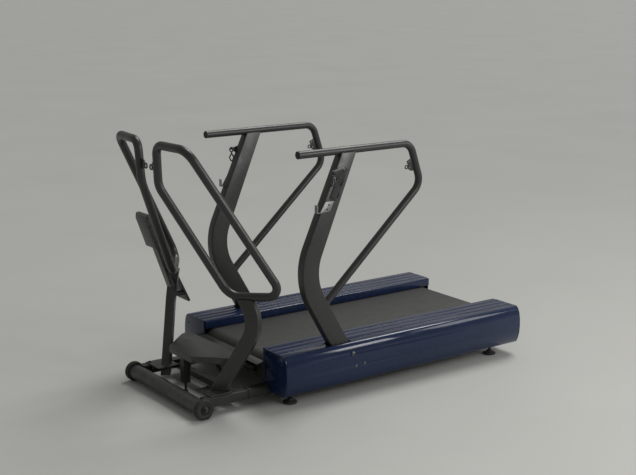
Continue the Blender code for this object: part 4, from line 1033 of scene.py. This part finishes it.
@dataclass
class SideCover(Sided):
    """The long hollow cover beside the belt, with a grooved top and a rounded flank."""

    front: float = -0.5347
    rear: float = 1.0142
    inner_x: float = 0.275
    edge_x: float = 0.4625
    bulge_x: float = BULGE_X
    top: float = 0.268
    bottom: float = 0.057
    skirt: float = 0.2255
    wall: float = 0.004
    lip: float = 0.022
    tuck: float = 0.008
    grooves: int = 3
    groove_width: float = 0.007
    groove_depth: float = 0.002
    top_round: float = 0.004
    flank: tuple[Pair, ...] = ((0.0, 0.0), (0.48, 0.06), (0.76, 0.16), (0.95, 0.32), (1.0, 0.51),
                               (0.90, 0.70), (0.60, 0.86), (0.20, 0.97))
    flank_steps: int = 4
    bolts: tuple[Point, ...] = COVER_BOLTS
    bolt_room: float = 0.0012
    slot_x: float = UPRIGHT_X
    slot_half: float = 0.028
    slot_corner: float = 0.006
    slot_y: Pair = (-0.2575, -0.1155)

    def flank_line(self) -> list[Pair]:
        """Draw the flank as a smooth curve through its few measured points.

        Returns:
            Points in (x, z), from the top edge down.
        """
        drop = self.top - self.bottom
        bulge = self.bulge_x - self.edge_x
        knots = [Vector((self.edge_x + bulge * out, self.top - drop * down)) for out, down in self.flank]
        knots = [knots[0] + Vector((-0.03, 0.0))] + knots + [Vector((self.edge_x - self.tuck, self.bottom))]
        line = []
        for index in range(1, len(knots) - 2):
            a, b, c, d = knots[index - 1:index + 3]
            for step in range(self.flank_steps):
                t = step / self.flank_steps
                point = 0.5 * (2 * b + (c - a) * t + (2 * a - 5 * b + 4 * c - d) * t ** 2
                               + (3 * b - a - 3 * c + d) * t ** 3)
                line.append((point.x, point.y))
        return line + [(knots[-2].x, knots[-2].y), (knots[-1].x, knots[-1].y)]

    def outline(self) -> list[Pair]:
        """Draw the cover's outer line.

        Returns:
            Points in (x, z), from the inner skirt to the bottom lip.
        """
        r = self.top_round
        line = [(self.inner_x, self.skirt), (self.inner_x, self.top - r),
                (self.inner_x + 0.3 * r, self.top - 0.3 * r), (self.inner_x + r, self.top)]
        flat = (self.edge_x - self.inner_x) / (self.grooves + 1)
        half = self.groove_width / 2
        groove = ((-1, 0), (-0.72, 0.25), (-0.45, 1), (0.45, 1), (0.72, 0.25), (1, 0))
        for number in range(self.grooves):
            x = self.inner_x + flat * (number + 1)
            line += [(x + half * out, self.top - self.groove_depth * down) for out, down in groove]
        return line + self.flank_line() + [(self.edge_x - self.tuck - self.lip, self.bottom)]

    def build(self) -> None:
        """Pull the shell and cut its slot and its bolt holes."""
        points = [(self.sign * x, self.front, z) for x, z in self.outline()]
        shell = drawn("side_shell_" + self.word, points, False)
        pull(shell, (0, self.rear - self.front, 0))
        outward(shell)
        face_up(shell)
        thicken(shell, self.wall)
        outward(shell)
        self.cut_slot(shell)
        for y, z, head in self.bolts:
            place = (self.sign * (self.bulge_x - 0.03), y, z)
            hole = rod("hole", (0, 0.05), head + self.bolt_room, place, (self.sign, 0, 0), 40)
            carve(shell, hole, folded=True)
        soften(shell, 0.0008, 2, 40.0)
        dress(shell, NAVY_SHELL, ROOT, "side_cover_" + self.word)

    def cut_slot(self, shell: Piece) -> None:
        """Cut the slot that the upright comes through.

        Args:
            shell: the cover.
        """
        x = self.sign * self.slot_x
        corners = rectangle((x - self.slot_half, self.slot_y[0]), (x + self.slot_half, self.slot_y[1]))
        plug = solid("slot", [(*corner, self.top - 0.012) for corner in corners], (0, 0, 0.03), 0.0)
        with editing(plug, "EDGE"):
            bpy.ops.mesh.select_all(action="DESELECT")
            mesh = bmesh.from_edit_mesh(plug.data)
            for edge in mesh.edges:
                run = edge.verts[1].co - edge.verts[0].co
                edge.select_set(abs(run.normalized().z) > 0.99)
            bmesh.update_edit_mesh(plug.data)
            bpy.ops.mesh.bevel(offset=self.slot_corner, segments=5)
        carve(shell, plug, folded=True)


@dataclass
class EndPlate(Sided):
    """The flat plate that closes a side cover at one end, with its two screws."""

    end: str
    face_y: float
    screw_places: tuple[Pair, ...] = ((0.356, 0.182), (0.4505, 0.2235))
    screw_r: float = 0.0062
    screw_tall: float = 0.0028
    edge: float = 0.0016

    def build(self) -> None:
        """Shape the plate from its node's outline and set the screws."""
        node = f"{self.end}_end_cap_{self.word}"
        finished(node, f"end_plate_{self.end}_{self.word}", NAVY_SHELL, self.edge, 3)
        places = [self.at((x, self.face_y, z)) for x, z in self.screw_places]
        outwards = (0, math.copysign(1, self.face_y), 0)
        screws(f"end_screws_{self.end}_{self.word}", places, outwards, self.screw_r, self.screw_tall)


@dataclass
class RunningBelt:
    """The closed belt, with its rounded edges."""

    half: float = 0.2835
    thick: float = 0.005
    outer_r: float = 0.0555
    height: float = 0.1675
    front_y: float = -0.4805
    rear_y: float = 0.9495
    edge: float = 0.0012
    arc_steps: int = 28

    def line(self) -> list[Point]:
        """Draw the belt's outer line in the plane of its right edge.

        Returns:
            The line's points.
        """
        points = []
        for centre, start in ((self.rear_y, -0.5), (self.front_y, 0.5)):
            for step in range(self.arc_steps + 1):
                angle = math.pi * (start + step / self.arc_steps)
                points.append((-self.half, centre + self.outer_r * math.cos(angle),
                               self.height + self.outer_r * math.sin(angle)))
        return points

    def build(self) -> None:
        """Pull the band across and give it its thickness."""
        belt = drawn("belt_band", self.line(), True)
        pull(belt, (2 * self.half, 0, 0))
        outward(belt)
        face_up(belt)
        thicken(belt, self.thick)
        soften(belt, self.edge, 2, 50.0)
        dress(belt, BELT_FACE, ROOT, "running_belt")


@dataclass
class UprightBolts(Sided):
    """Backing plate with three dome-headed bolts that show in the cover's flank."""

    near_x: float = FITTING_X
    bulge_x: float = BULGE_X
    proud: float = 0.004
    rim: float = 0.0025
    head_tall: float = 0.008
    shank_r: float = 0.004
    margin: float = 0.012
    plate_thick: float = 0.006
    bolts: tuple[Point, ...] = COVER_BOLTS

    def build(self) -> None:
        """Build the plate, the shanks and the heads as one piece."""
        sign = self.sign
        ys, zs, _ = zip(*self.bolts)
        corners = rectangle((min(ys) - self.margin, min(zs) - self.margin),
                            (max(ys) + self.margin, max(zs) + self.margin))
        parts = [solid("plate", [(sign * self.near_x, *p) for p in corners], (sign * self.plate_thick, 0, 0))]
        seat = self.bulge_x + self.proud - self.head_tall
        for y, z, head in self.bolts:
            parts.append(rod("shank", (0, seat - self.near_x), self.shank_r, (sign * self.near_x, y, z),
                             (sign, 0, 0), 20))
            parts.append(screw((sign * seat, y, z), (sign, 0, 0), head + self.rim, self.head_tall))
        dress(joined("cover_bolts_" + self.word, parts), DULL_ZINC, ROOT, "upright_bolts_" + self.word)


@dataclass(frozen=True)
class Axle:
    """Where the transport wheels turn, and the sizes that fit there."""

    y: float = -0.925
    z: float = 0.050
    radius: float = 0.008
    wheel_x: float = 0.337
    wheel_width: float = 0.030


@dataclass
class FrontStand:
    """Cross tube and axle between the wheels, and the two sides of the stand."""

    tube_r: float = 0.038
    tube_half: float = 0.3367
    washer: Pair = (0.0125, 0.0014)
    nut: Pair = (0.0095, 0.0062)
    edge: float = 0.002
    axle: Axle = Axle()

    def build(self) -> None:
        """Build the cross tube, the axle and both sides."""
        middle = (0, self.axle.y, self.axle.z)
        hole = self.axle.radius + 0.0003
        half, r, edge = self.tube_half, self.tube_r, self.edge
        profile = [(-half, hole), (-half, r - edge), (-half + edge, r), (half - edge, r), (half, r - edge),
                   (half, hole), (-half, hole)]
        bar = turned("cross_bar", profile, middle, (1, 0, 0), 56)
        dress(bar, POWDER_COAT, ROOT, "stand_cross_tube")
        face = self.axle.wheel_x + self.axle.wheel_width + 0.0005
        parts = [rod("axle_rod", (-face, face), self.axle.radius, middle, (1, 0, 0), 32)]
        for side in Side:
            place = (side.value * face, self.axle.y, self.axle.z)
            parts += nut_on_washer(place, (side.value, 0, 0), self.washer, self.nut, 0.0006, 40)
        dress(joined("axle_and_nuts", parts), BLACK_ZINC, ROOT, "wheel_axle")
        for side in Side:
            StandSide(side, self.axle).build()


@dataclass
class StandSide(Sided):
    """One side of the stand: wheel, arm, pull pin and the bent upright under the loop."""

    axle: Axle = Axle()
    wheel_r: float = 0.050
    tread_grooves: tuple[float, ...] = (0.0095, 0.0150, 0.0205)
    turn: float = math.radians(33.0)
    foot: Point = (0.242, -0.800, 0.045)
    knee: Point = (0.414, -0.660, 0.430)
    head: Point = (0.353, -0.674, 0.552)
    bend: float = 0.150
    width: float = 0.050
    depth: float = 0.072
    corner: float = 0.006
    flare: float = 0.008
    flare_height: float = 0.12
    arm_edge: float = 0.002
    clip_edge: float = 0.0012
    arm_side: float = 0.2847
    arm_top: float = 0.0903
    plate_low: Pair = (0.188, -0.872)
    plate_high: Pair = (0.326, -0.752)
    plate_thick: float = 0.006
    plate_bolts: tuple[Pair, ...] = ((0.199, -0.815), (0.311, -0.858), (0.311, -0.766))
    washer: Pair = (0.0080, 0.0012)
    bolt_head: Pair = (0.0062, 0.0058)
    pin_reach: float = 0.026

    def build(self) -> None:
        """Build the wheel, the upright with its foot plate, the arm with its clip, and the pin."""
        self.wheel()
        self.upright()
        self.flange()
        finished("stand_arm_" + self.word, "stand_arm_tube_" + self.word, POWDER_COAT, self.arm_edge, 3)
        finished("arm_collar_" + self.word, "arm_clip_" + self.word, MOULDED, self.clip_edge, 3)
        self.pin()

    def wheel(self) -> None:
        """Turn the wheel's tyre and its hub."""
        body = "transport_wheel_" + self.word
        centre = self.at((self.axle.wheel_x, self.axle.y, self.axle.z))
        axis = (self.sign, 0, 0)
        r, w = self.wheel_r, self.axle.wheel_width
        tread = [(0.0, 0.030), (0.0, r - 0.006), (0.0008, r - 0.0034), (0.0028, r - 0.0010), (0.005, r)]
        for start in self.tread_grooves:
            tread += [(start - 0.0011, r), (start - 0.0007, r - 0.0011), (start + 0.0007, r - 0.0011),
                      (start + 0.0011, r)]
        tread += [(w - 0.005, r), (w - 0.0028, r - 0.0010), (w - 0.0008, r - 0.0034), (w, r - 0.006),
                  (w, 0.034), (w - 0.002, 0.030), (0.0, 0.030)]
        dress(turned("wheel_tyre_" + self.word, tread, centre, axis, 72), SOFT_RUBBER, body, body)
        bore = self.axle.radius + 0.0005
        hub = [(0.0, bore), (0.0, 0.0298), (w - 0.0025, 0.0298), (w - 0.0025, 0.0255), (w - 0.0062, 0.0235),
               (w - 0.0062, 0.0185), (w - 0.001, 0.0165), (w, 0.0150), (w, bore), (0.0, bore)]
        dress(turned("wheel_hub_" + self.word, hub, centre, axis, 60), MOULDED, body)

    def upright(self) -> None:
        """Bend the box tube from the arm to the loop and flare its foot."""
        low, knee, head = (self.at(p) for p in (self.foot, self.knee, self.head))
        low -= (knee - low).normalized() * self.depth
        across = self.at((-math.sin(self.turn), math.cos(self.turn), 0))
        obj = box_section("stand_post_" + self.word, low, knee - low, across, self.depth, self.width,
                          self.corner)
        arcs = bends_of([low, knee, head], [self.bend], False)
        end = head + (head - knee).normalized() * 0.05
        run = (knee - low).normalized()
        normal = across.normalized().cross(run)
        with editing(obj):
            mid = low + (arcs[0].start - low).normalized() * (self.flare_height + self.depth)
            extrude(mid - low)
            bend_along(mid, arcs, end, 14)
            for way in (1, -1):
                pick(obj, lambda co: abs((co - low).dot(run)) < 0.002 and way * (co - low).dot(normal) > 0.02)
                bpy.ops.transform.translate(value=normal * (way * self.flare / 2))
            cut_level(self.foot[2], -1)
            cut_level(self.head[2] + 0.004, 1)
        outward(obj)
        room = [(*p, 0.0) for p in rectangle((self.sign * self.arm_side, -0.95), (self.sign * 0.45, -0.65))]
        carve(obj, solid("arm_room", room, (0, 0, self.arm_top), 0))
        soften(obj, TUBE_EDGE, 2, 50.0)
        dress(obj, POWDER_COAT, ROOT, "stand_upright_" + self.word)

    def flange(self) -> None:
        """Cut the welded foot plate and set its hexagon bolts."""
        corners = [self.at((*p, self.arm_top)) for p in rectangle(self.plate_low, self.plate_high)]
        parts = [solid("plate", corners, (0, 0, self.plate_thick), PLATE_EDGE)]
        for x, y in self.plate_bolts:
            spot = self.at((x, y, self.arm_top + self.plate_thick))
            parts += nut_on_washer(spot, (0, 0, 1), self.washer, self.bolt_head, 0.0005, 28)
        dress(joined("stand_flange_" + self.word, parts), POWDER_COAT)

    def pin(self) -> None:
        """Turn the pull pin's shank and its round knob."""
        body = "locking_pin_" + self.word
        low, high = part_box(body)
        outer = low.x if self.sign < 0 else high.x
        place = (outer - self.sign * self.pin_reach, (low.y + high.y) / 2, (low.z + high.z) / 2)
        profile = [(-self.pin_reach, 0), (-self.pin_reach, 0.0036), (-0.0245, 0.005), (0, 0.005), (0, 0.0086),
                   (0.006, 0.0086), (0.0072, 0.0125), (0.0085, 0.0136), (0.0205, 0.0139), (0.0228, 0.0125),
                   (0.024, 0.0085), (0.0235, 0)]
        knob = turned("pull_knob_" + self.word, profile, place, (-self.sign, 0, 0), 48)
        dress(knob, MOULDED, body, body)


@dataclass
class StepDeck:
    """The step platform, its frame and the bent nose plate behind it."""

    outline: tuple[Pair, ...] = ((0.28, -0.640), (0.25, -0.700), (0.11, -0.850), (-0.11, -0.850),
                                 (-0.25, -0.700), (-0.28, -0.640))
    top: float = 0.236
    skirt: float = 0.034
    wall: float = 0.004
    leg: Pair = (-0.040, -0.800)
    leg_side: float = 0.038
    leg_bottom: float = 0.052
    fold: float = 0.004
    frame_edge: float = 0.0022
    nose_edge: float = 0.0012

    def build(self) -> None:
        """Fold the plate, weld its leg and finish the frame and nose plate from their nodes."""
        plate = drawn("plate", [(x, y, self.top) for x, y in self.outline], True)
        with editing(plate):
            bpy.ops.mesh.edge_face_add()
        with editing(plate, "EDGE"):
            bpy.ops.mesh.extrude_edges_move(TRANSFORM_OT_translate={"value": (0, 0, -self.skirt)})
        outward(plate)
        face_up(plate)
        soften(plate, self.fold, 4, 20.0)
        thicken(plate, self.wall)
        smooth(plate, 35.0)
        x, y = self.leg
        half = self.leg_side / 2
        root = self.top - self.wall
        corners = [(*p, root) for p in rectangle((x - half, y - half), (x + half, y + half))]
        leg = solid("leg", corners, (0, 0, self.leg_bottom - root), 0.003)
        foot = turned("leg_foot", [(0, 0), (0, 0.0105), (0.0015, 0.012), (0.010, 0.012), (0.012, 0.010),
                                   (0.012, 0.006), (self.leg_bottom + 0.002, 0.006),
                                   (self.leg_bottom + 0.002, 0)], (x, y, 0), (0, 0, 1), 40)
        dress(joined("step_plate_and_leg", [plate, leg, foot]), POWDER_COAT, ROOT, "step_platform")
        finished("platform_frame", "step_frame", POWDER_COAT, self.frame_edge, 3)
        finished("nose_plate", "nose_sheet", POWDER_COAT, self.nose_edge)


@dataclass
class Console:
    """The bar with its housing and the leaning panel, on the right stand upright."""

    bar_edge: float = 0.003
    panel_edge: float = 0.0015

    def build(self) -> None:
        """Finish the bar and the panel from their nodes."""
        finished("console_bracket", "console_bar_and_housing", POWDER_COAT, self.bar_edge, 3)
        finished("console_panel", "console_back_panel", MOULDED, self.panel_edge)


@dataclass
class Fittings(Sided):
    """What is screwed to a deck upright: tether plate, snap hook and J hook."""

    near_x: float = FITTING_X
    plate_thick: float = 0.004
    plate_screws: tuple[Pair, ...] = ((-0.196, 1.107), (-0.236, 1.018))
    plate_screw: Pair = (0.0052, 0.0026)
    slots: tuple[tuple[Pair, ...], ...] = (
        ((-0.200, 1.0745), (-0.184, 1.0645), (-0.1735, 1.089), (-0.179, 1.0945)),
        ((-0.208, 1.038), (-0.1965, 1.036), (-0.2085, 1.0085), (-0.217, 1.015)))
    slot_depth: float = 0.0034
    # Size share and thickness of the near-black sheets that paint the shade of deep holes into the slots.
    shade_share: float = 0.92
    shade_thick: float = 0.0012
    pin: Pair = (-0.244, 1.143)
    pin_r: float = 0.0028
    pin_length: float = 0.016
    ring_r: float = 0.0115
    wire: float = 0.0034
    loop_half: float = 0.014
    loop_tall: float = 0.050
    hook_screws: tuple[Pair, ...] = ((-0.262, 0.984), (-0.272, 0.962))
    hook_screw: Pair = (0.0046, 0.0024)

    def build(self) -> None:
        """Build the three fittings of this side."""
        self.tether_plate()
        self.snap_hook()
        self.j_hook()

    def tether_plate(self) -> None:
        """Finish the plate from its node and add its slots, the near-black sheets of painted shade in them,
        and its screws.
        """
        sign = self.sign
        plate = node_copy("tether_bracket_" + self.word, "tether_plate_" + self.word, 0.0009)
        face = sign * (self.near_x + self.plate_thick)
        # Each slot gets a near-black sheet (the pieces are still named pad): painted shade that stands in for
        # a deep hole through the plate.
        shade_sheets = []
        for slot in self.slots:
            corners = [Vector((face - sign * self.slot_depth, y, z)) for y, z in slot]
            carve(plate, solid("slot", corners, (sign * 0.01, 0, 0), 0))
            middle = sum(corners, Vector()) / len(corners)
            inset = [middle + (corner - middle) * self.shade_share for corner in corners]
            shade_sheets.append(solid("pad", inset, (sign * self.shade_thick, 0, 0), 0.0004))
        smooth(plate, 35.0)
        dress(joined("tether_pads_" + self.word, shade_sheets), HOLE_SHADE_BLACK)
        dress(plate, POWDER_COAT, ROOT, "tether_bracket_" + self.word)
        places = [(face, *p) for p in self.plate_screws]
        screws("tether_screws_" + self.word, places, (sign, 0, 0), *self.plate_screw)

    def snap_hook(self) -> None:
        """Build the ring on the pin, the swivel barrel and the closed hook with its gate."""
        body = "snap_hook_" + self.word
        x = self.sign * (self.near_x + self.plate_thick + self.pin_length / 2)
        y, z = self.pin
        ring_z = z - (self.ring_r - self.wire - self.pin_r - 0.0005)
        ring = torus("ring", self.ring_r, self.wire, (x, y, ring_z), (0, math.pi / 2, 0), (44, 14))
        top = ring_z - self.ring_r - 0.010
        barrel = turned("barrel", [(-0.001, 0), (-0.001, 0.0040), (0.0005, 0.0046), (0.0040, 0.0046),
                                   (0.0046, 0.0036), (0.0070, 0.0036), (0.0076, 0.0044), (0.0100, 0.0044),
                                   (0.0105, 0.0038), (0.0105, 0)], (x, y, top), (0, 0, 1), 28)
        half, tall = self.loop_half, self.loop_tall
        waist = top - tall * 0.4
        corners = [(x, y, top), (x, y - half, waist), (x, y, top - tall), (x, y + half, waist)]
        loop = tube("loop", corners, (0.004, 0.008, 0.007, 0.008), self.wire, 16, 10, closed=True)
        sleeve = [(0, 0), (0, 0.0042), (0.0012, 0.0044), (0.0108, 0.0044), (0.012, 0.0042), (0.012, 0)]
        gate = turned("gate", sleeve, (x, y + half * 0.60, top - tall * 0.24), (0, half, -tall * 0.4), 20)
        dress(joined("snap_hook_wire_" + self.word, [ring, barrel, loop, gate]), BLACK_ZINC, body, body)

    def j_hook(self) -> None:
        """Finish the bent hook from its node and set its two screws."""
        node = "j_hook_" + self.word
        finished(node, "hook_plate_" + self.word, ZINC, 0.0008)
        low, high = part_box(node)
        face = high.x if self.sign > 0 else low.x
        places = [(face, *p) for p in self.hook_screws]
        screws("hook_screws_" + self.word, places, (self.sign, 0, 0), *self.hook_screw)


@dataclass
class LevellingFoot(Sided):
    """A threaded foot with a ribbed rubber pad."""

    end: str
    y: float
    x: float = 0.402
    top: float = 0.076
    thread_low: float = 0.0246
    pitch: float = 0.00125
    crest: float = 0.0060
    groove: float = 0.0052
    pad: tuple[Pair, ...] = (
        (0.0, 0.0), (0.0, 0.031), (0.0006, 0.0325), (0.0026, 0.0348), (0.0038, 0.0350), (0.0042, 0.0342),
        (0.0050, 0.0342), (0.0054, 0.0350), (0.0090, 0.0350), (0.0102, 0.0335), (0.0150, 0.0165),
        (0.0160, 0.0140), (0.0228, 0.0138), (0.0240, 0.0130), (0.0240, 0.0060))

    def build(self) -> None:
        """Turn the pad, the neck and the threaded stem."""
        node = f"{self.end}_foot_{self.word}"
        profile = list(self.pad)
        height = self.thread_low
        while height < self.top - 0.0015:
            profile += [(height, self.groove), (height + 0.0006, self.crest)]
            height += self.pitch
        profile += [(self.top, self.groove), (self.top, 0.0)]
        foot = turned(f"foot_{self.end}_{self.word}", profile, self.at((self.x, self.y, 0)), (0, 0, 1), 56)
        dress(foot, SOFT_RUBBER, node, node)


@dataclass
class Stage:
    """Floor, lamps, background and camera."""

    camera_place: Point = (5.287, -3.801, 2.181)
    azimuth: float = 54.30
    elevation: float = 12.78
    lens: float = 71.44
    sensor: float = 36.0
    floor_size: float = 900.0
    floor_colour: Colour = (0.47, 0.47, 0.445)
    floor_cloud: float = 0.07
    floor_scale: float = 0.9
    world_colour: Colour = (0.80, 0.80, 0.78)
    world_strength: float = 0.36
    key_from: Point = (-0.35, 1.0, 1.5)
    key_strength: float = 1.7
    key_angle: float = 28.0
    windows: tuple[tuple[str, Point, Point, float, float], ...] = (
        ("window", (4.3, 2.1, 2.3), (0.0, 0.0, 0.4), 1.5, 66.0),
        ("far_window", (3.0, 4.8, 2.8), (0.0, 0.4, 0.5), 2.0, 45.0))

    def build(self) -> None:
        """Build the floor, the world, the lamps and the camera."""
        self.add_floor()
        self.set_world()
        self.add_key()
        for name, place, aim, size, watts in self.windows:
            self.add_window(name, place, aim, size, watts)
        self.add_camera()
        bpy.context.scene.view_settings.view_transform = "Standard"

    def add_floor(self) -> None:
        """Lay the plain floor, with a faint cloudiness in its colour."""
        deselect()
        bpy.ops.mesh.primitive_plane_add(size=self.floor_size, location=(0, 0, 0))
        floor = named("floor")
        graph = Graph("floor_plaster")
        graph.shader.inputs["Roughness"].default_value = 0.62
        graph.shader.inputs["Specular IOR Level"].default_value = 0.25
        cloud = graph.noise(graph.place(), self.floor_scale, 5.0)
        colour = graph.mottled(cloud, self.floor_colour, self.floor_cloud)
        graph.feed(graph.shader.inputs["Base Color"], colour)
        floor.data.materials.append(graph.material)

    def set_world(self) -> None:
        """Light everything evenly from a pale sky."""
        world = bpy.context.scene.world or bpy.data.worlds.new("room")
        bpy.context.scene.world = world
        world.use_nodes = True
        sky = world.node_tree.nodes["Background"]
        sky.inputs["Color"].default_value = (*self.world_colour, 1.0)
        sky.inputs["Strength"].default_value = self.world_strength

    def add_key(self) -> None:
        """Set the wide soft light that comes from the rear and above."""
        deselect()
        bpy.ops.object.light_add(type="SUN", location=(0.0, 0.0, 6.0))
        key = bpy.context.active_object
        key.name = "skylight"
        key.data.energy = self.key_strength
        key.data.angle = math.radians(self.key_angle)
        key.rotation_euler = Vector(self.key_from).to_track_quat("Z", "Y").to_euler()

    def add_window(self, name: str, place: Point, aim: Point, size: float, watts: float) -> None:
        """Add a square area lamp.

        Args:
            name: its name.
            place: where it hangs.
            aim: the point that it faces.
            size: length of its side.
            watts: its power.
        """
        deselect()
        bpy.ops.object.light_add(type="AREA", location=place)
        lamp = bpy.context.active_object
        lamp.name = name
        lamp.data.size = size
        lamp.data.energy = watts
        lamp.rotation_euler = (Vector(aim) - Vector(place)).to_track_quat("-Z", "Y").to_euler()

    def add_camera(self) -> None:
        """Set the camera where the photograph was taken."""
        deselect()
        turn = math.radians(self.azimuth)
        rise = math.radians(self.elevation)
        ahead = Vector((-math.sin(turn) * math.cos(rise), math.cos(turn) * math.cos(rise), -math.sin(rise)))
        bpy.ops.object.camera_add(location=self.camera_place,
                                  rotation=ahead.to_track_quat("-Z", "Y").to_euler())
        camera = bpy.context.active_object
        camera.name = "camera"
        camera.data.lens = self.lens
        camera.data.sensor_width = self.sensor
        bpy.context.scene.camera = camera


def dress_nodes() -> None:
    """Give every CAD node the finish that the record names for it."""
    for entry in frame["record"]["subparts"]:
        materials = frame["nodes"][entry["node"]].data.materials
        materials.clear()
        materials.append(FINISH_OF[Slot(entry["material_slot"])].material())


def main() -> None:
    """Build everything in order."""
    logging.basicConfig(level=logging.INFO, format="%(name)s %(message)s")
    dress_nodes()
    Stage().build()
    for side in Side:
        PushLoop(side).build()
        Handrail(side).build()
        DeckUpright(side).build()
        SideCover(side).build()
        EndPlate(side, "front", -0.541).build()
        EndPlate(side, "rear", 1.0205).build()
        UprightBolts(side).build()
        Fittings(side).build()
        LevellingFoot(side, "front", -0.460).build()
        LevellingFoot(side, "rear", 0.880).build()
    RunningBelt().build()
    StepDeck().build()
    FrontStand().build()
    Console().build()


if __name__ == "__main__":
    main()
